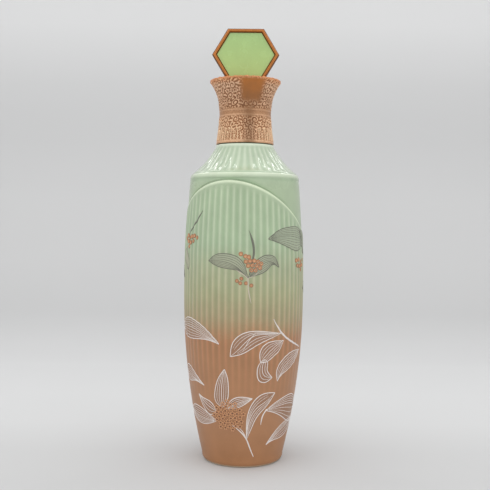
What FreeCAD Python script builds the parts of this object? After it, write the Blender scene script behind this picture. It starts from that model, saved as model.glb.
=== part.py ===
import FreeCAD, Part
import os
import Sketcher

# Ceramic sake bottle: a tall round body on a foot ring, a cone shoulder, a waisted collar round the
# neck, and a hexagonal medallion on a corked stopper that lifts straight out.
# Millimetres, +Z up. The origin is the centre of the foot, and the front faces -Y.

document = FreeCAD.newDocument("SakeBottle")
dims = document.addObject("Spreadsheet::Sheet", "Dims")

DIMENSIONS = {
    # body
    "foot_radius": 26.6,
    "foot_inner_radius": 22.4,
    "recess_radius": 20.6,
    "recess_depth": 2.4,
    "flank_height": 4.5,
    "foot_round": 4.2,
    "belly_height": 122.0,
    "belly_radius": 43.0,
    "lower_arc": 500.0,
    "upper_arc": 706.0,
    "skirt_height": 197.0,
    # plain upper zone, set in from the reeded skirt along an oblique arch
    "plain_radius": 42.1,
    "plain_arc": 782.0,
    "plain_height": 196.0,
    "arch_height": 164.9,
    "arch_tilt": 38.2,
    "arch_bearing": -16.5,
    # shoulder
    "ridge_radius": 38.7,
    "ridge_height": 199.4,
    "ridge_round": 5.2,
    "cone_foot_radius": 36.6,
    "cone_foot_height": 203.6,
    "cone_arc": 62.0,
    "seat_radius": 20.2,
    "seat_height": 223.8,
    # neck
    "neck_radius": 14.5,
    "bead_radius": 15.6,
    "bead_height": 256.0,
    "bead_slope": 2.0,
    "lip_height": 263.0,
    "lip_edge": 1.0,
    "bore_radius": 9.5,
    # inside of the bottle
    "wall": 5.4,
    "floor_height": 8.5,
    "floor_radius": 19.0,
    "heel_height": 15.0,
    "heel_round": 9.5,
    "inner_top_radius": 33.6,
    "inner_top_arc": 684.0,
    "inner_cone_radius": 32.3,
    "inner_cone_height": 198.6,
    "inner_neck_height": 221.0,
    # collar, its gasket and its liner
    "gasket_height": 0.7,
    "gasket_radius": 19.9,
    "collar_foot_radius": 20.6,
    "waist_radius": 18.4,
    "waist_height": 247.5,
    "collar_lower_arc": 122.0,
    "collar_upper_arc": 34.0,
    "rim_start_radius": 24.9,
    "rim_start_height": 266.4,
    "rim_radius": 25.2,
    "rim_height": 269.6,
    "rim_round": 1.75,
    "collar_wall": 1.1,
    "fit_gap": 0.1,
    "liner_top": 261.5,
    "liner_top_radius": 20.2,
    "liner_bore_step": 254.6,
    "liner_bead_bore": 15.9,
    # stopper cap and plug
    "cap_bottom": 264.4,
    "cap_top": 268.2,
    "cap_bottom_radius": 21.4,
    "cap_top_radius": 23.3,
    "cap_seat_length": 28.0,
    "cap_seat_width": 9.4,
    "lip_gap": 0.2,
    "lip_gasket_inner": 9.8,
    "lip_gasket_outer": 15.2,
    "flange_radius": 9.3,
    "flange_height": 262.0,
    "stem_radius": 5.8,
    "plug_bottom": 240.0,
    "running_gap": 0.08,
    "cork_edge": 1.2,
    "cork_top": 261.9,
    "washer_radius": 8.6,
    "washer_height": 1.4,
    "screw_radius": 1.9,
    "screw_head_radius": 3.6,
    "screw_head_height": 2.0,
    "screw_top": 256.0,
    # hexagonal medallion
    "medallion_width": 47.7,
    "medallion_edge": 25.5,
    "medallion_height": 36.6,
    "bezel_depth": 4.2,
    "bezel_face": 3.0,
    "bezel_wall": 1.9,
    "bezel_chamfer": 1.1,
    "panel_depth": 3.0,
    "core_half_depth": 1.5,
    "pin_radius": 1.0,
    "pin_spacing": 16.0,
    "pin_bottom": 266.0,
    "pin_top": 277.0,
}

for row, (alias, value) in enumerate(DIMENSIONS.items(), start=1):
    dims.set(f"A{row}", alias)
    dims.set(f"B{row}", str(value))
    dims.setAlias(f"B{row}", alias)
document.recompute()

NEAR = 1e-6


def size(expression):
    """The value of an expression on the sheet's cells."""
    return float(dims.evalExpression(expression))


def pin_point(sketch, edge, end, across, up):
    """Bind one end of a sketch edge to two expressions, its distances from the sketch's axes."""
    for expression, kind, axis in ((across, "DistanceX", -2), (up, "DistanceY", -1)):
        if abs(size(expression)) < NEAR:
            sketch.addConstraint(Sketcher.Constraint("PointOnObject", edge, end, axis))
            continue
        rule = Sketcher.Constraint(kind, -1, 1, edge, end, size(expression))
        index = sketch.addConstraint(rule)
        sketch.setExpression(f"Constraints[{index}]", expression)


def crown(start, finish, bend):
    """The middle point of a round edge: a plus radius bulges to the right of travel."""
    chord = finish - start
    half = chord.Length / 2
    rise = abs(bend) - (bend * bend - half * half) ** 0.5
    right = FreeCAD.Vector(chord.y, -chord.x, 0).normalize()
    return (start + finish) * 0.5 + right * (rise if bend > 0 else -rise)


def outline(body, name, corners):
    """A closed outline on the body's XZ plane.

    A corner is (across, up) or, where the edge that leaves it is round, (across, up, radius, side):
    sheet expressions, and a side of 1 or -1 for a bulge to the right or the left of travel.
    """
    sketch = body.newObject("Sketcher::SketchObject", name)
    planes = {feature.Role: feature for feature in body.Origin.OriginFeatures}
    sketch.AttachmentSupport = [(planes["XZ_Plane"], "")]
    sketch.MapMode = "FlatFace"
    points = [FreeCAD.Vector(size(corner[0]), size(corner[1]), 0) for corner in corners]
    ends = []
    for edge, corner in enumerate(corners):
        start = points[edge]
        finish = points[(edge + 1) % len(points)]
        if len(corner) == 2:
            sketch.addGeometry(Part.LineSegment(start, finish))
        else:
            middle = crown(start, finish, size(corner[2]) * corner[3])
            sketch.addGeometry(Part.Arc(start, middle, finish))
        first = 1 if sketch.getPoint(edge, 1).distanceToPoint(start) < NEAR else 2
        ends.append((first, 3 - first))
    for edge, corner in enumerate(corners):
        following = (edge + 1) % len(corners)
        joint = (edge, ends[edge][1], following, ends[following][0])
        sketch.addConstraint(Sketcher.Constraint("Coincident", *joint))
        pin_point(sketch, edge, ends[edge][0], corner[0], corner[1])
        if len(corner) > 2:
            rule = Sketcher.Constraint("Radius", edge, size(corner[2]))
            index = sketch.addConstraint(rule)
            sketch.setExpression(f"Constraints[{index}]", corner[2])
    return sketch


def turned(label, corners):
    """A piece turned about Z from its half section."""
    body = document.addObject("PartDesign::Body", label)
    body.Label = label
    section = outline(body, label + "_section", corners)
    turn = body.newObject("PartDesign::Revolution", label + "_turn")
    turn.Profile = section
    turn.ReferenceAxis = (section, ["V_Axis"])
    turn.Angle = 360
    section.Visibility = False
    document.recompute()
    return body


def boolean(kind, label, base, tool):
    """A Part::Cut or Part::Fuse of two objects."""
    result = document.addObject(kind, label)
    result.Label = label
    result.Base = base
    result.Tool = tool
    document.recompute()
    return result


def bored(label, blank, drills):
    """The blank with each drill cut out of it in turn."""
    piece = blank
    for count, drill in enumerate(drills, start=1):
        last = count == len(drills)
        piece = boolean("Part::Cut", label if last else f"{label}_step{count}", piece, drill)
    return piece


def cylinder(name, radius, height, across="0", bottom="0"):
    """An upright cylinder whose sizes and place are sheet expressions."""
    shape = document.addObject("Part::Cylinder", name)
    shape.setExpression("Radius", radius)
    shape.setExpression("Height", height)
    shape.setExpression("Placement.Base.x", across)
    shape.setExpression("Placement.Base.z", bottom)
    return shape


def flank(radius, arc, belly, height):
    """Radius expression of a flank: an arc that is upright at the belly's height."""
    return f"{radius} - {arc} + sqrt({arc}^2 - ({belly} - {height})^2)"


# ---- bottle body ---------------------------------------------------------------------------

BELLY = "Dims.belly_height"
SKIRT_FOOT = flank("Dims.belly_radius", "Dims.lower_arc", BELLY, "Dims.flank_height")
SKIRT_TOP = flank("Dims.belly_radius", "Dims.upper_arc", BELLY, "Dims.skirt_height")
PLAIN_TOP = flank("Dims.plain_radius", "Dims.plain_arc", BELLY, "Dims.plain_height")


def reeded_skirt():
    """The wider lower body, cut off along the oblique arch."""
    blank = turned("skirt_blank", [
        ("0", "Dims.recess_depth"),
        ("Dims.recess_radius", "Dims.recess_depth"),
        ("Dims.foot_inner_radius", "0"),
        ("Dims.foot_radius", "0", "Dims.foot_round", 1),
        (SKIRT_FOOT, "Dims.flank_height", "Dims.lower_arc", 1),
        ("Dims.belly_radius", BELLY, "Dims.upper_arc", 1),
        (SKIRT_TOP, "Dims.skirt_height"),
        ("0", "Dims.skirt_height"),
    ])
    cutter = document.addObject("Part::Cylinder", "arch_cutter")
    turn = "create(<<rotation>>; Dims.arch_bearing; 0; -Dims.arch_tilt)"
    place = f"create(<<placement>>; create(<<vector>>; 0; 0; Dims.arch_height); {turn})"
    cutter.setExpression("Radius", "3 * Dims.belly_radius")
    cutter.setExpression("Height", "Dims.skirt_height")
    cutter.setExpression("Placement", place)
    return boolean("Part::Cut", "skirt", blank, cutter)


def upper_core():
    """The plain upper zone with the ridge, the cone shoulder, the seat and the neck."""
    return turned("upper_core", [
        ("0", BELLY),
        ("Dims.plain_radius", BELLY, "Dims.plain_arc", 1),
        (PLAIN_TOP, "Dims.plain_height"),
        ("Dims.ridge_radius", "Dims.ridge_height", "Dims.ridge_round", 1),
        ("Dims.cone_foot_radius", "Dims.cone_foot_height", "Dims.cone_arc", -1),
        ("Dims.seat_radius", "Dims.seat_height"),
        ("Dims.neck_radius", "Dims.seat_height"),
        ("Dims.neck_radius", "Dims.bead_height"),
        ("Dims.bead_radius", "Dims.bead_height + Dims.bead_slope"),
        ("Dims.bead_radius", "Dims.lip_height - Dims.lip_edge"),
        ("Dims.bead_radius - Dims.lip_edge", "Dims.lip_height"),
        ("0", "Dims.lip_height"),
    ])


def cavity():
    """What the bottle holds, with the bore through the neck and past the lip."""
    heel = flank("Dims.belly_radius", "Dims.lower_arc", BELLY, "Dims.heel_height") + " - Dims.wall"
    belly = "Dims.belly_radius - Dims.wall"
    past_lip = "Dims.lip_height + Dims.lip_edge"
    return turned("cavity", [
        ("0", "Dims.floor_height"),
        ("Dims.floor_radius", "Dims.floor_height", "Dims.heel_round", 1),
        (heel, "Dims.heel_height", "Dims.lower_arc - Dims.wall", 1),
        (belly, BELLY, "Dims.inner_top_arc", 1),
        ("Dims.inner_top_radius", "Dims.plain_height"),
        ("Dims.inner_cone_radius", "Dims.inner_cone_height"),
        ("Dims.bore_radius", "Dims.inner_neck_height"),
        ("Dims.bore_radius", "Dims.lip_height - Dims.lip_edge"),
        ("Dims.bore_radius + Dims.lip_edge", "Dims.lip_height"),
        ("Dims.bore_radius + Dims.lip_edge", past_lip),
        ("0", past_lip),
    ])


def bottle_body():
    """Skirt and upper core in one piece, hollow inside."""
    solid = boolean("Part::Fuse", "bottle_solid", reeded_skirt(), upper_core())
    return bored("bottle_body", solid, [cavity()])


# ---- collar --------------------------------------------------------------------------------

COLLAR_FOOT = "Dims.seat_height + Dims.gasket_height"


def collar_gasket():
    """Flat washer between the shoulder's seat and the collar."""
    bore = "Dims.neck_radius + Dims.fit_gap"
    return turned("collar_gasket", [
        (bore, "Dims.seat_height"),
        ("Dims.gasket_radius", "Dims.seat_height"),
        ("Dims.gasket_radius", COLLAR_FOOT),
        (bore, COLLAR_FOOT),
    ])


def neck_collar():
    """Thin waisted sleeve: two arcs that meet upright at the waist, and a rolled rim."""
    wall = "Dims.collar_wall"
    return turned("neck_collar", [
        ("Dims.collar_foot_radius", COLLAR_FOOT, "Dims.collar_lower_arc", -1),
        ("Dims.waist_radius", "Dims.waist_height", "Dims.collar_upper_arc", -1),
        ("Dims.rim_start_radius", "Dims.rim_start_height", "Dims.rim_round", 1),
        ("Dims.rim_radius", "Dims.rim_height"),
        (f"Dims.rim_radius - {wall}", "Dims.rim_height"),
        (f"Dims.rim_start_radius - {wall}", "Dims.rim_start_height",
         f"Dims.collar_upper_arc + {wall}", 1),
        (f"Dims.waist_radius - {wall}", "Dims.waist_height", f"Dims.collar_lower_arc + {wall}", 1),
        (f"Dims.collar_foot_radius - {wall}", COLLAR_FOOT),
    ])


def collar_liner():
    """Carrier between the neck and the collar, with a wider bore over the neck's bead."""
    bore = "Dims.neck_radius + Dims.fit_gap"
    wall = "Dims.collar_wall - Dims.fit_gap"
    lower_arc = "Dims.collar_lower_arc + Dims.collar_wall + Dims.fit_gap"
    upper_arc = "Dims.collar_upper_arc + Dims.collar_wall + Dims.fit_gap"
    return turned("collar_liner", [
        (bore, COLLAR_FOOT),
        (f"Dims.collar_foot_radius - {wall} - 2 * Dims.fit_gap", COLLAR_FOOT, lower_arc, -1),
        (f"Dims.waist_radius - {wall} - 2 * Dims.fit_gap", "Dims.waist_height", upper_arc, -1),
        ("Dims.liner_top_radius", "Dims.liner_top"),
        ("Dims.liner_bead_bore", "Dims.liner_top"),
        ("Dims.liner_bead_bore", "Dims.liner_bore_step"),
        (bore, "Dims.liner_bore_step"),
    ])


# ---- stopper cap and plug ------------------------------------------------------------------

PIN_PLACES = ("-Dims.pin_spacing / 2", "Dims.pin_spacing / 2")


def pin_drills(label):
    """Two upright drills for the medallion's pins, with a small clearance."""
    return [
        cylinder(f"{label}_drill{number}", "Dims.pin_radius + Dims.fit_gap / 2",
                 "Dims.pin_top - Dims.pin_bottom + Dims.fit_gap / 2", place, "Dims.pin_bottom")
        for number, place in enumerate(PIN_PLACES, start=1)
    ]


def stopper_cap():
    """Disc in the collar's mouth with a raised seat for the medallion and two pin holes."""
    disc = turned("cap_disc", [
        ("0", "Dims.cap_bottom"),
        ("Dims.cap_bottom_radius", "Dims.cap_bottom"),
        ("Dims.cap_top_radius", "Dims.cap_top"),
        ("0", "Dims.cap_top"),
    ])
    seat = document.addObject("Part::Box", "cap_seat")
    seat.setExpression("Length", "Dims.cap_seat_length")
    seat.setExpression("Width", "Dims.cap_seat_width")
    seat.setExpression("Height", "Dims.rim_height - Dims.cap_bottom")
    seat.setExpression("Placement.Base.x", "-Dims.cap_seat_length / 2")
    seat.setExpression("Placement.Base.y", "-Dims.cap_seat_width / 2")
    seat.setExpression("Placement.Base.z", "Dims.cap_bottom")
    blank = boolean("Part::Fuse", "cap_blank", disc, seat)
    return bored("stopper_cap", blank, pin_drills("cap"))


def lip_gasket():
    """Soft ring under the cap that meets the bottle's lip."""
    bottom = "Dims.lip_height + Dims.lip_gap"
    return turned("lip_gasket", [
        ("Dims.lip_gasket_inner", bottom),
        ("Dims.lip_gasket_outer", bottom),
        ("Dims.lip_gasket_outer", "Dims.cap_bottom"),
        ("Dims.lip_gasket_inner", "Dims.cap_bottom"),
    ])


def plug_core():
    """Stem with a flange under the cap and a hole up its middle for the screw."""
    hole = "Dims.screw_radius + Dims.fit_gap / 2"
    return turned("plug_core", [
        (hole, "Dims.plug_bottom"),
        ("Dims.stem_radius", "Dims.plug_bottom"),
        ("Dims.stem_radius", "Dims.flange_height"),
        ("Dims.flange_radius", "Dims.flange_height"),
        ("Dims.flange_radius", "Dims.cap_bottom"),
        ("0", "Dims.cap_bottom"),
        ("0", "Dims.screw_top + Dims.fit_gap"),
        (hole, "Dims.screw_top + Dims.fit_gap"),
    ])


def plug_cork():
    """Cork sleeve: a sliding fit in the bottle's bore, its lower edge bevelled."""
    inner = "Dims.stem_radius + Dims.fit_gap / 2"
    outer = "Dims.bore_radius - Dims.running_gap"
    return turned("plug_cork", [
        (inner, "Dims.plug_bottom"),
        (f"{outer} - Dims.cork_edge", "Dims.plug_bottom"),
        (outer, "Dims.plug_bottom + Dims.cork_edge"),
        (outer, "Dims.cork_top"),
        (inner, "Dims.cork_top"),
    ])


def plug_washer():
    """Disc that holds the cork up on the stem."""
    hole = "Dims.screw_radius + Dims.fit_gap"
    bottom = "Dims.plug_bottom - Dims.washer_height"
    return turned("plug_washer", [
        (hole, bottom),
        ("Dims.washer_radius", bottom),
        ("Dims.washer_radius", "Dims.plug_bottom"),
        (hole, "Dims.plug_bottom"),
    ])


def plug_screw():
    """Flat-headed screw up the middle of the plug."""
    seat = "Dims.plug_bottom - Dims.washer_height"
    bottom = f"{seat} - Dims.screw_head_height"
    return turned("plug_screw", [
        ("0", bottom),
        ("Dims.screw_head_radius - Dims.screw_head_height / 4", bottom),
        ("Dims.screw_head_radius", f"{seat} - Dims.screw_head_height / 2"),
        ("Dims.screw_head_radius", seat),
        ("Dims.screw_radius", seat),
        ("Dims.screw_radius", "Dims.screw_top"),
        ("0", "Dims.screw_top"),
    ])


# ---- medallion -----------------------------------------------------------------------------

SLOPE_RUN = "(Dims.medallion_width - Dims.medallion_edge) / 2"
SLOPE_RISE = "Dims.medallion_height / 2"
SLOPE_LENGTH = f"sqrt(({SLOPE_RUN})^2 + ({SLOPE_RISE})^2)"
MIDDLE = "(Dims.rim_height + Dims.medallion_height / 2)"


def hexagon(inset):
    """Corners of the medallion's hexagon, moved in by the same distance on all six sides."""
    point = f"(Dims.medallion_width / 2 - ({inset}) * ({SLOPE_LENGTH}) / ({SLOPE_RISE}))"
    rise = f"({SLOPE_RISE} - ({inset}))"
    edge = f"({point} - {rise} * ({SLOPE_RUN}) / ({SLOPE_RISE}))"
    return [
        (f"-{point}", MIDDLE),
        (f"-{edge}", f"{MIDDLE} - {rise}"),
        (edge, f"{MIDDLE} - {rise}"),
        (point, MIDDLE),
        (edge, f"{MIDDLE} + {rise}"),
        (f"-{edge}", f"{MIDDLE} + {rise}"),
    ]


def plate(label, inset, near, far):
    """A hexagonal plate from depth near to depth far, measured forwards from the middle plane."""
    body = document.addObject("PartDesign::Body", label)
    body.Label = label
    shape = outline(body, label + "_outline", hexagon(inset))
    pad = body.newObject("PartDesign::Pad", label + "_pad")
    pad.Profile = shape
    pad.setExpression("Length", f"({far}) - ({near})")
    body.setExpression("Placement.Base.y", f"-({near})")
    shape.Visibility = False
    document.recompute()
    return body


def face_chamfer(body, depth):
    """Bevel the six outer edges of the plate's face that lies at the depth given."""
    level = -size(depth)
    pad = body.Tip
    half_width = size("Dims.medallion_width / 2 - Dims.bezel_wall")
    half_rise = size("Dims.medallion_height / 2 - Dims.bezel_wall")
    names = []
    for number, edge in enumerate(pad.Shape.Edges, start=1):
        box = edge.BoundBox
        across = max(abs(box.XMin), abs(box.XMax))
        rise = max(abs(box.ZMin - size(MIDDLE)), abs(box.ZMax - size(MIDDLE)))
        on_face = abs(box.YMin - level) < NEAR and abs(box.YMax - level) < NEAR
        if on_face and (across > half_width or rise > half_rise):
            names.append(f"Edge{number}")
    bevel = body.newObject("PartDesign::Chamfer", body.Label + "_bevel")
    bevel.Base = (pad, names)
    bevel.setExpression("Size", "Dims.bezel_chamfer")
    body.Tip = bevel
    document.recompute()


def bezel(label, side):
    """Half of the frame: a bevelled hexagon with a window and a deeper pocket for the panel."""
    blank = plate(f"{label}_blank", "0", "0", "Dims.bezel_depth")
    face_chamfer(blank, "Dims.bezel_depth")
    window = plate(f"{label}_window", "Dims.bezel_face", "-1", "Dims.bezel_depth + 1")
    pocket = plate(f"{label}_pocket", "Dims.bezel_wall", "-1", "Dims.panel_depth")
    drills = pin_drills(label)
    if side == "front":
        return bored(label, blank, [window, pocket] + drills)
    half = bored(f"{label}_turned", blank, [window, pocket] + drills)
    rear = document.addObject("Part::Mirroring", label)
    rear.Label = label
    rear.Source = half
    rear.Base = FreeCAD.Vector(0, 0, 0)
    rear.Normal = FreeCAD.Vector(0, 1, 0)
    document.recompute()
    return rear


def medallion_core():
    """Stiff plate between the panels, drilled from below for the pins."""
    inset = "Dims.bezel_wall + Dims.fit_gap"
    blank = plate("core_blank", inset, "-Dims.core_half_depth", "Dims.core_half_depth")
    return bored("medallion_core", blank, pin_drills("core"))


def panel(label, near, far):
    """A green panel that fills its bezel's pocket behind the window."""
    return plate(label, "Dims.bezel_wall + Dims.fit_gap", near, far)


def medallion_pins():
    """The two pins that stand in the cap and reach up into the core."""
    pins = [
        cylinder(f"pin{number}", "Dims.pin_radius",
                 "Dims.pin_top - Dims.pin_bottom", place, "Dims.pin_bottom")
        for number, place in enumerate(PIN_PLACES, start=1)
    ]
    pair = document.addObject("Part::Compound", "medallion_pins")
    pair.Label = "medallion_pins"
    pair.Links = pins
    document.recompute()
    return pair


PIECES = [
    bottle_body(),
    collar_gasket(),
    neck_collar(),
    collar_liner(),
    stopper_cap(),
    lip_gasket(),
    plug_core(),
    plug_cork(),
    plug_washer(),
    plug_screw(),
    bezel("bezel_front", "front"),
    bezel("bezel_rear", "rear"),
    medallion_core(),
    panel("panel_front", "Dims.core_half_depth", "Dims.panel_depth"),
    panel("panel_rear", "-Dims.panel_depth", "-Dims.core_half_depth"),
    medallion_pins(),
]

# ---- check and write -----------------------------------------------------------------------

document.recompute()
for item in document.Objects:
    if "Invalid" in item.State or "Error" in item.State:
        raise RuntimeError(f"{item.Label} failed: {item.State}")
for piece in PIECES:
    if piece.Shape.isNull() or not piece.Shape.isValid():
        raise RuntimeError(f"{piece.Label} has no valid shape")

os.makedirs("parts", exist_ok=True)
for piece in PIECES:
    piece.Shape.exportStep(f"parts/{piece.Label}.step")
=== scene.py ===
import math

import bpy
import numpy as np
from mathutils import Matrix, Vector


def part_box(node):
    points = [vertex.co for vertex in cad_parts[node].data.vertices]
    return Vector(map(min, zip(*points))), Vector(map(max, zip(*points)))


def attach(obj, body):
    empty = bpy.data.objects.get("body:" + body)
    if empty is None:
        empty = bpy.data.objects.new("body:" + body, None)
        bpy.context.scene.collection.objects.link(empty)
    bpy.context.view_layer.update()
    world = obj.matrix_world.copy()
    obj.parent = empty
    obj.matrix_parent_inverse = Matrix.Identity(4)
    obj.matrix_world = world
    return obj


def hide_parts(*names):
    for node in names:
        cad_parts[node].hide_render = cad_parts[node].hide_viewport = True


# Sake bottle: fluted and reeded porcelain with fired enamel, an embossed copper collar, and a
# stopper with a hexagonal medallion. Metres; bearings are measured from the front, -Y, towards +X.

bl_info = {
    "name": "Sake Bottle",
    "version": (1, 0, 0),
    "blender": (4, 5, 0),
    "location": "3D View > Sidebar > Sake Bottle",
    "description": "Builds the porcelain, enamel, collar and stopper of a sake bottle round its frame",
    "category": "Object",
}

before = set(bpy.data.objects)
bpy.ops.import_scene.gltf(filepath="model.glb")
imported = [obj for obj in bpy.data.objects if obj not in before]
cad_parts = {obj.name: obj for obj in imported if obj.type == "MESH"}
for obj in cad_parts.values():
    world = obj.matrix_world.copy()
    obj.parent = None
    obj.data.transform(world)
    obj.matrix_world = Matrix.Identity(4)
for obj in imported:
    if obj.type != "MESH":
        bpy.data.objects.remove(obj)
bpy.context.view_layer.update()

MM = 0.001
FULL_TURN = 2 * math.pi
BOTTLE = "bottle"
STOPPER = "stopper"

BODY_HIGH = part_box("bottle_body")[1]
COLLAR_LOW, COLLAR_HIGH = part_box("neck_collar")
BEZEL_LOW, BEZEL_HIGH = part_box("bezel_front")
CORK_LOW, CORK_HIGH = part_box("plug_cork")


# ---- settings --------------------------------------------------------------------------------


def length(name, description, default):
    """A length property in metres."""
    return bpy.props.FloatProperty(
        name=name, description=description, default=default, unit="LENGTH", precision=5)


def angle(name, description, degrees):
    """An angle property, given in degrees."""
    return bpy.props.FloatProperty(
        name=name, description=description, default=math.radians(degrees), subtype="ANGLE")


def number(name, description, default):
    """A whole number property."""
    return bpy.props.IntProperty(name=name, description=description, default=default)


def group(kind, name):
    """A pointer to a group of settings."""
    return bpy.props.PointerProperty(type=kind, name=name, description=kind.__doc__)


def colour(name, description, default):
    """A linear colour property."""
    return bpy.props.FloatVectorProperty(
        name=name, description=description, default=default, size=3, min=0.0, max=1.0,
        subtype="COLOR")


class BottleSizes(bpy.types.PropertyGroup):
    """Sizes of the porcelain's relief."""

    reeds: number("Reeds", "Upright reeds round the skirt", 56)
    reed_depth: length("Reed depth", "Depth of the hollows between reeds", 0.00040)
    reed_bearing: angle("Reed bearing", "Bearing of one reed's crest", 2.9)
    flutes: number("Flutes", "Flutes round the cone shoulder", 40)
    flute_depth: length("Flute depth", "Depth of the shoulder's flutes", 0.00020)
    step_depth: length("Step depth", "How far the plain zone is set in above the arch", 0.0009)
    arch_middle: length("Arch height", "Height of the arch at the bottle's sides", 0.1649)
    arch_rise: length("Arch rise", "How far the arch rises and falls round the bottle", 0.0315)
    arch_bearing: angle("Arch bearing", "Bearing of the arch's crown", -16.5)


class GlazeColours(bpy.types.PropertyGroup):
    """Colours of the porcelain's glaze and coat."""

    celadon: colour("Celadon", "Glaze of the shoulder", (0.492, 0.592, 0.43))
    sage: colour("Sage", "Glaze below the arch", (0.425, 0.53, 0.35))
    moss: colour("Moss", "Where the glaze warms below the motifs", (0.43, 0.465, 0.295))
    straw: colour("Straw", "Where the copper spray begins", (0.42, 0.42, 0.247))
    sand: colour("Sand", "Where the copper spray thickens", (0.415, 0.34, 0.197))
    clay: colour("Clay", "Main coat of the lower body", (0.435, 0.213, 0.103))
    umber: colour("Umber", "Coat at the foot", (0.40, 0.180, 0.072))
    foot: colour("Foot", "Bare foot ring", (0.60, 0.47, 0.33))


class EnamelSizes(bpy.types.PropertyGroup):
    """Sizes and colours of the fired enamel."""

    outline: length("Outline", "Width of a leaf's outline", 0.00068)
    vein: length("Vein", "Width of a leaf's vein", 0.00042)
    lift: length("Lift", "How far a line stands off the glaze", 0.00016)
    white: colour("White", "Enamel lines of the lower leaves", (0.86, 0.80, 0.77))
    grey: colour("Grey", "Lustre lines of the upper leaves", (0.175, 0.18, 0.14))
    copper: colour("Copper", "Berries and flower heads", (0.56, 0.262, 0.135))
    # Amber is partly painted highlight on the flower heads' crests, partly the berries' own light
    # eyes.
    amber_eyes_and_highlight: colour("Amber", "Crests of the flower heads and eyes of the berries", (0.74, 0.41, 0.22))


class CollarSizes(bpy.types.PropertyGroup):
    """Sizes and colours of the embossed collar."""

    relief: length("Relief", "Depth of the collar's embossing", 0.00036)
    repeats: number("Scrolls", "Scrolls in one row round the collar", 16)
    crest: colour("Crest", "Rubbed copper on the crests", (0.74, 0.48, 0.32))
    middle: colour("Middle", "Copper between crest and recess", (0.52, 0.30, 0.18))
    recess: colour("Recess", "Dark patina in the recesses", (0.36, 0.185, 0.10))
    # The next two colours are painted reflection on the cartouches: dark at their foot, bright at
    # their top.
    burnished_reflection: colour("Burnished", "Copper at the foot of the smooth cartouches", (0.36, 0.17, 0.078))
    bright: colour("Bright", "Copper at the top of the smooth cartouches", (0.62, 0.235, 0.070))


class StopperSizes(bpy.types.PropertyGroup):
    """Sizes and colours of the medallion."""

    bead: length("Bead", "Width of the rounded bead on the bezel", 0.0021)
    panel_crown: length("Panel crown", "How far the green panel swells", 0.0004)
    panel: colour("Panel", "Green at the top of the medallion's panel", (0.40, 0.60, 0.235))
    panel_foot: colour("Panel foot", "Green at the panel's foot", (0.53, 0.70, 0.247))
    bezel: colour("Bezel", "Rose copper of the bezel", (0.76, 0.285, 0.085))


class StageSizes(bpy.types.PropertyGroup):
    """Camera, lights and floor."""

    distance: length("Distance", "Camera to the bottle's axis", 0.574)
    camera_height: length("Camera height", "Camera above the floor", 0.171)
    camera_side: length("Camera side", "Camera to the right of the bottle's axis", 0.0007)
    pitch: angle("Pitch", "How far the camera looks down", 1.81)
    roll: angle("Roll", "How far the camera leans", 0.52)
    lens: bpy.props.FloatProperty(
        name="Lens", description="Focal length in millimetres", default=58.8)
    floor: colour("Floor", "Colour of floor and backdrop", (0.685, 0.687, 0.69))


class BottleSettings(bpy.types.PropertyGroup):
    """All the bottle's settings."""

    body: group(BottleSizes, "Body")
    glaze: group(GlazeColours, "Glaze")
    enamel: group(EnamelSizes, "Enamel")
    collar: group(CollarSizes, "Collar")
    stopper: group(StopperSizes, "Stopper")
    stage: group(StageSizes, "Stage")


# ---- meshes ----------------------------------------------------------------------------------


def turned(radius, bearing, height):
    """Points of a turned form: (r sin b, -r cos b, z) over arrays of radius, bearing, height."""
    radius, bearing, height = np.broadcast_arrays(radius, bearing, height)
    return np.stack([radius * np.sin(bearing), -radius * np.cos(bearing), height], axis=-1)


def around(count):
    """Bearings of evenly spaced columns round a full turn."""
    return np.arange(count) * FULL_TURN / count


def arc(start, finish, radius, count):
    """Points from start towards finish on a round edge, without the last one.

    A plus radius bulges to the right of travel, a minus radius to the left.
    """
    start, finish = np.asarray(start, float), np.asarray(finish, float)
    chord = finish - start
    half = np.hypot(*chord) / 2
    left = np.array([-chord[1], chord[0]]) / (2 * half)
    centre = (start + finish) / 2 + left * math.copysign(math.sqrt(radius**2 - half**2), radius)
    begin = start - centre
    swing = math.copysign(2 * math.asin(half / abs(radius)), radius)
    turn = swing * np.arange(count)[:, None] / count
    across = np.stack([-begin[1] * np.ones(count), begin[0] * np.ones(count)], axis=1)
    return centre + begin * np.cos(turn) + across * np.sin(turn)


def line(start, finish, count):
    """Points from start towards finish on a straight edge, without the last one."""
    share = np.arange(count)[:, None] / count
    return np.asarray(start, float) * (1 - share) + np.asarray(finish, float) * share


def smooth_step(value, low, high):
    """0 below low, 1 above high, and an S curve between."""
    share = np.clip((value - low) / (high - low), 0, 1)
    return share * share * (3 - 2 * share)


def grid_faces(rows, columns, wrap_rows=False, wrap_columns=False):
    """Quads of a grid of points, outward where columns turn with the bearing and rows climb."""
    last_row = rows if wrap_rows else rows - 1
    last_column = columns if wrap_columns else columns - 1
    row, column = np.meshgrid(np.arange(last_row), np.arange(last_column), indexing="ij")
    above, beside = (row + 1) % rows, (column + 1) % columns
    corners = [row * columns + column, row * columns + beside,
               above * columns + beside, above * columns + column]
    return np.stack(corners, axis=-1).reshape(-1, 4)


def joined(parts):
    """One (points, faces, values) from several, with the face numbers moved on."""
    starts = np.cumsum([0] + [len(part[0]) for part in parts[:-1]])
    points = np.concatenate([part[0] for part in parts])
    faces = np.concatenate([part[1] + start for part, start in zip(parts, starts)])
    values = np.concatenate([part[2] for part in parts])
    return points, faces, values


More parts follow.
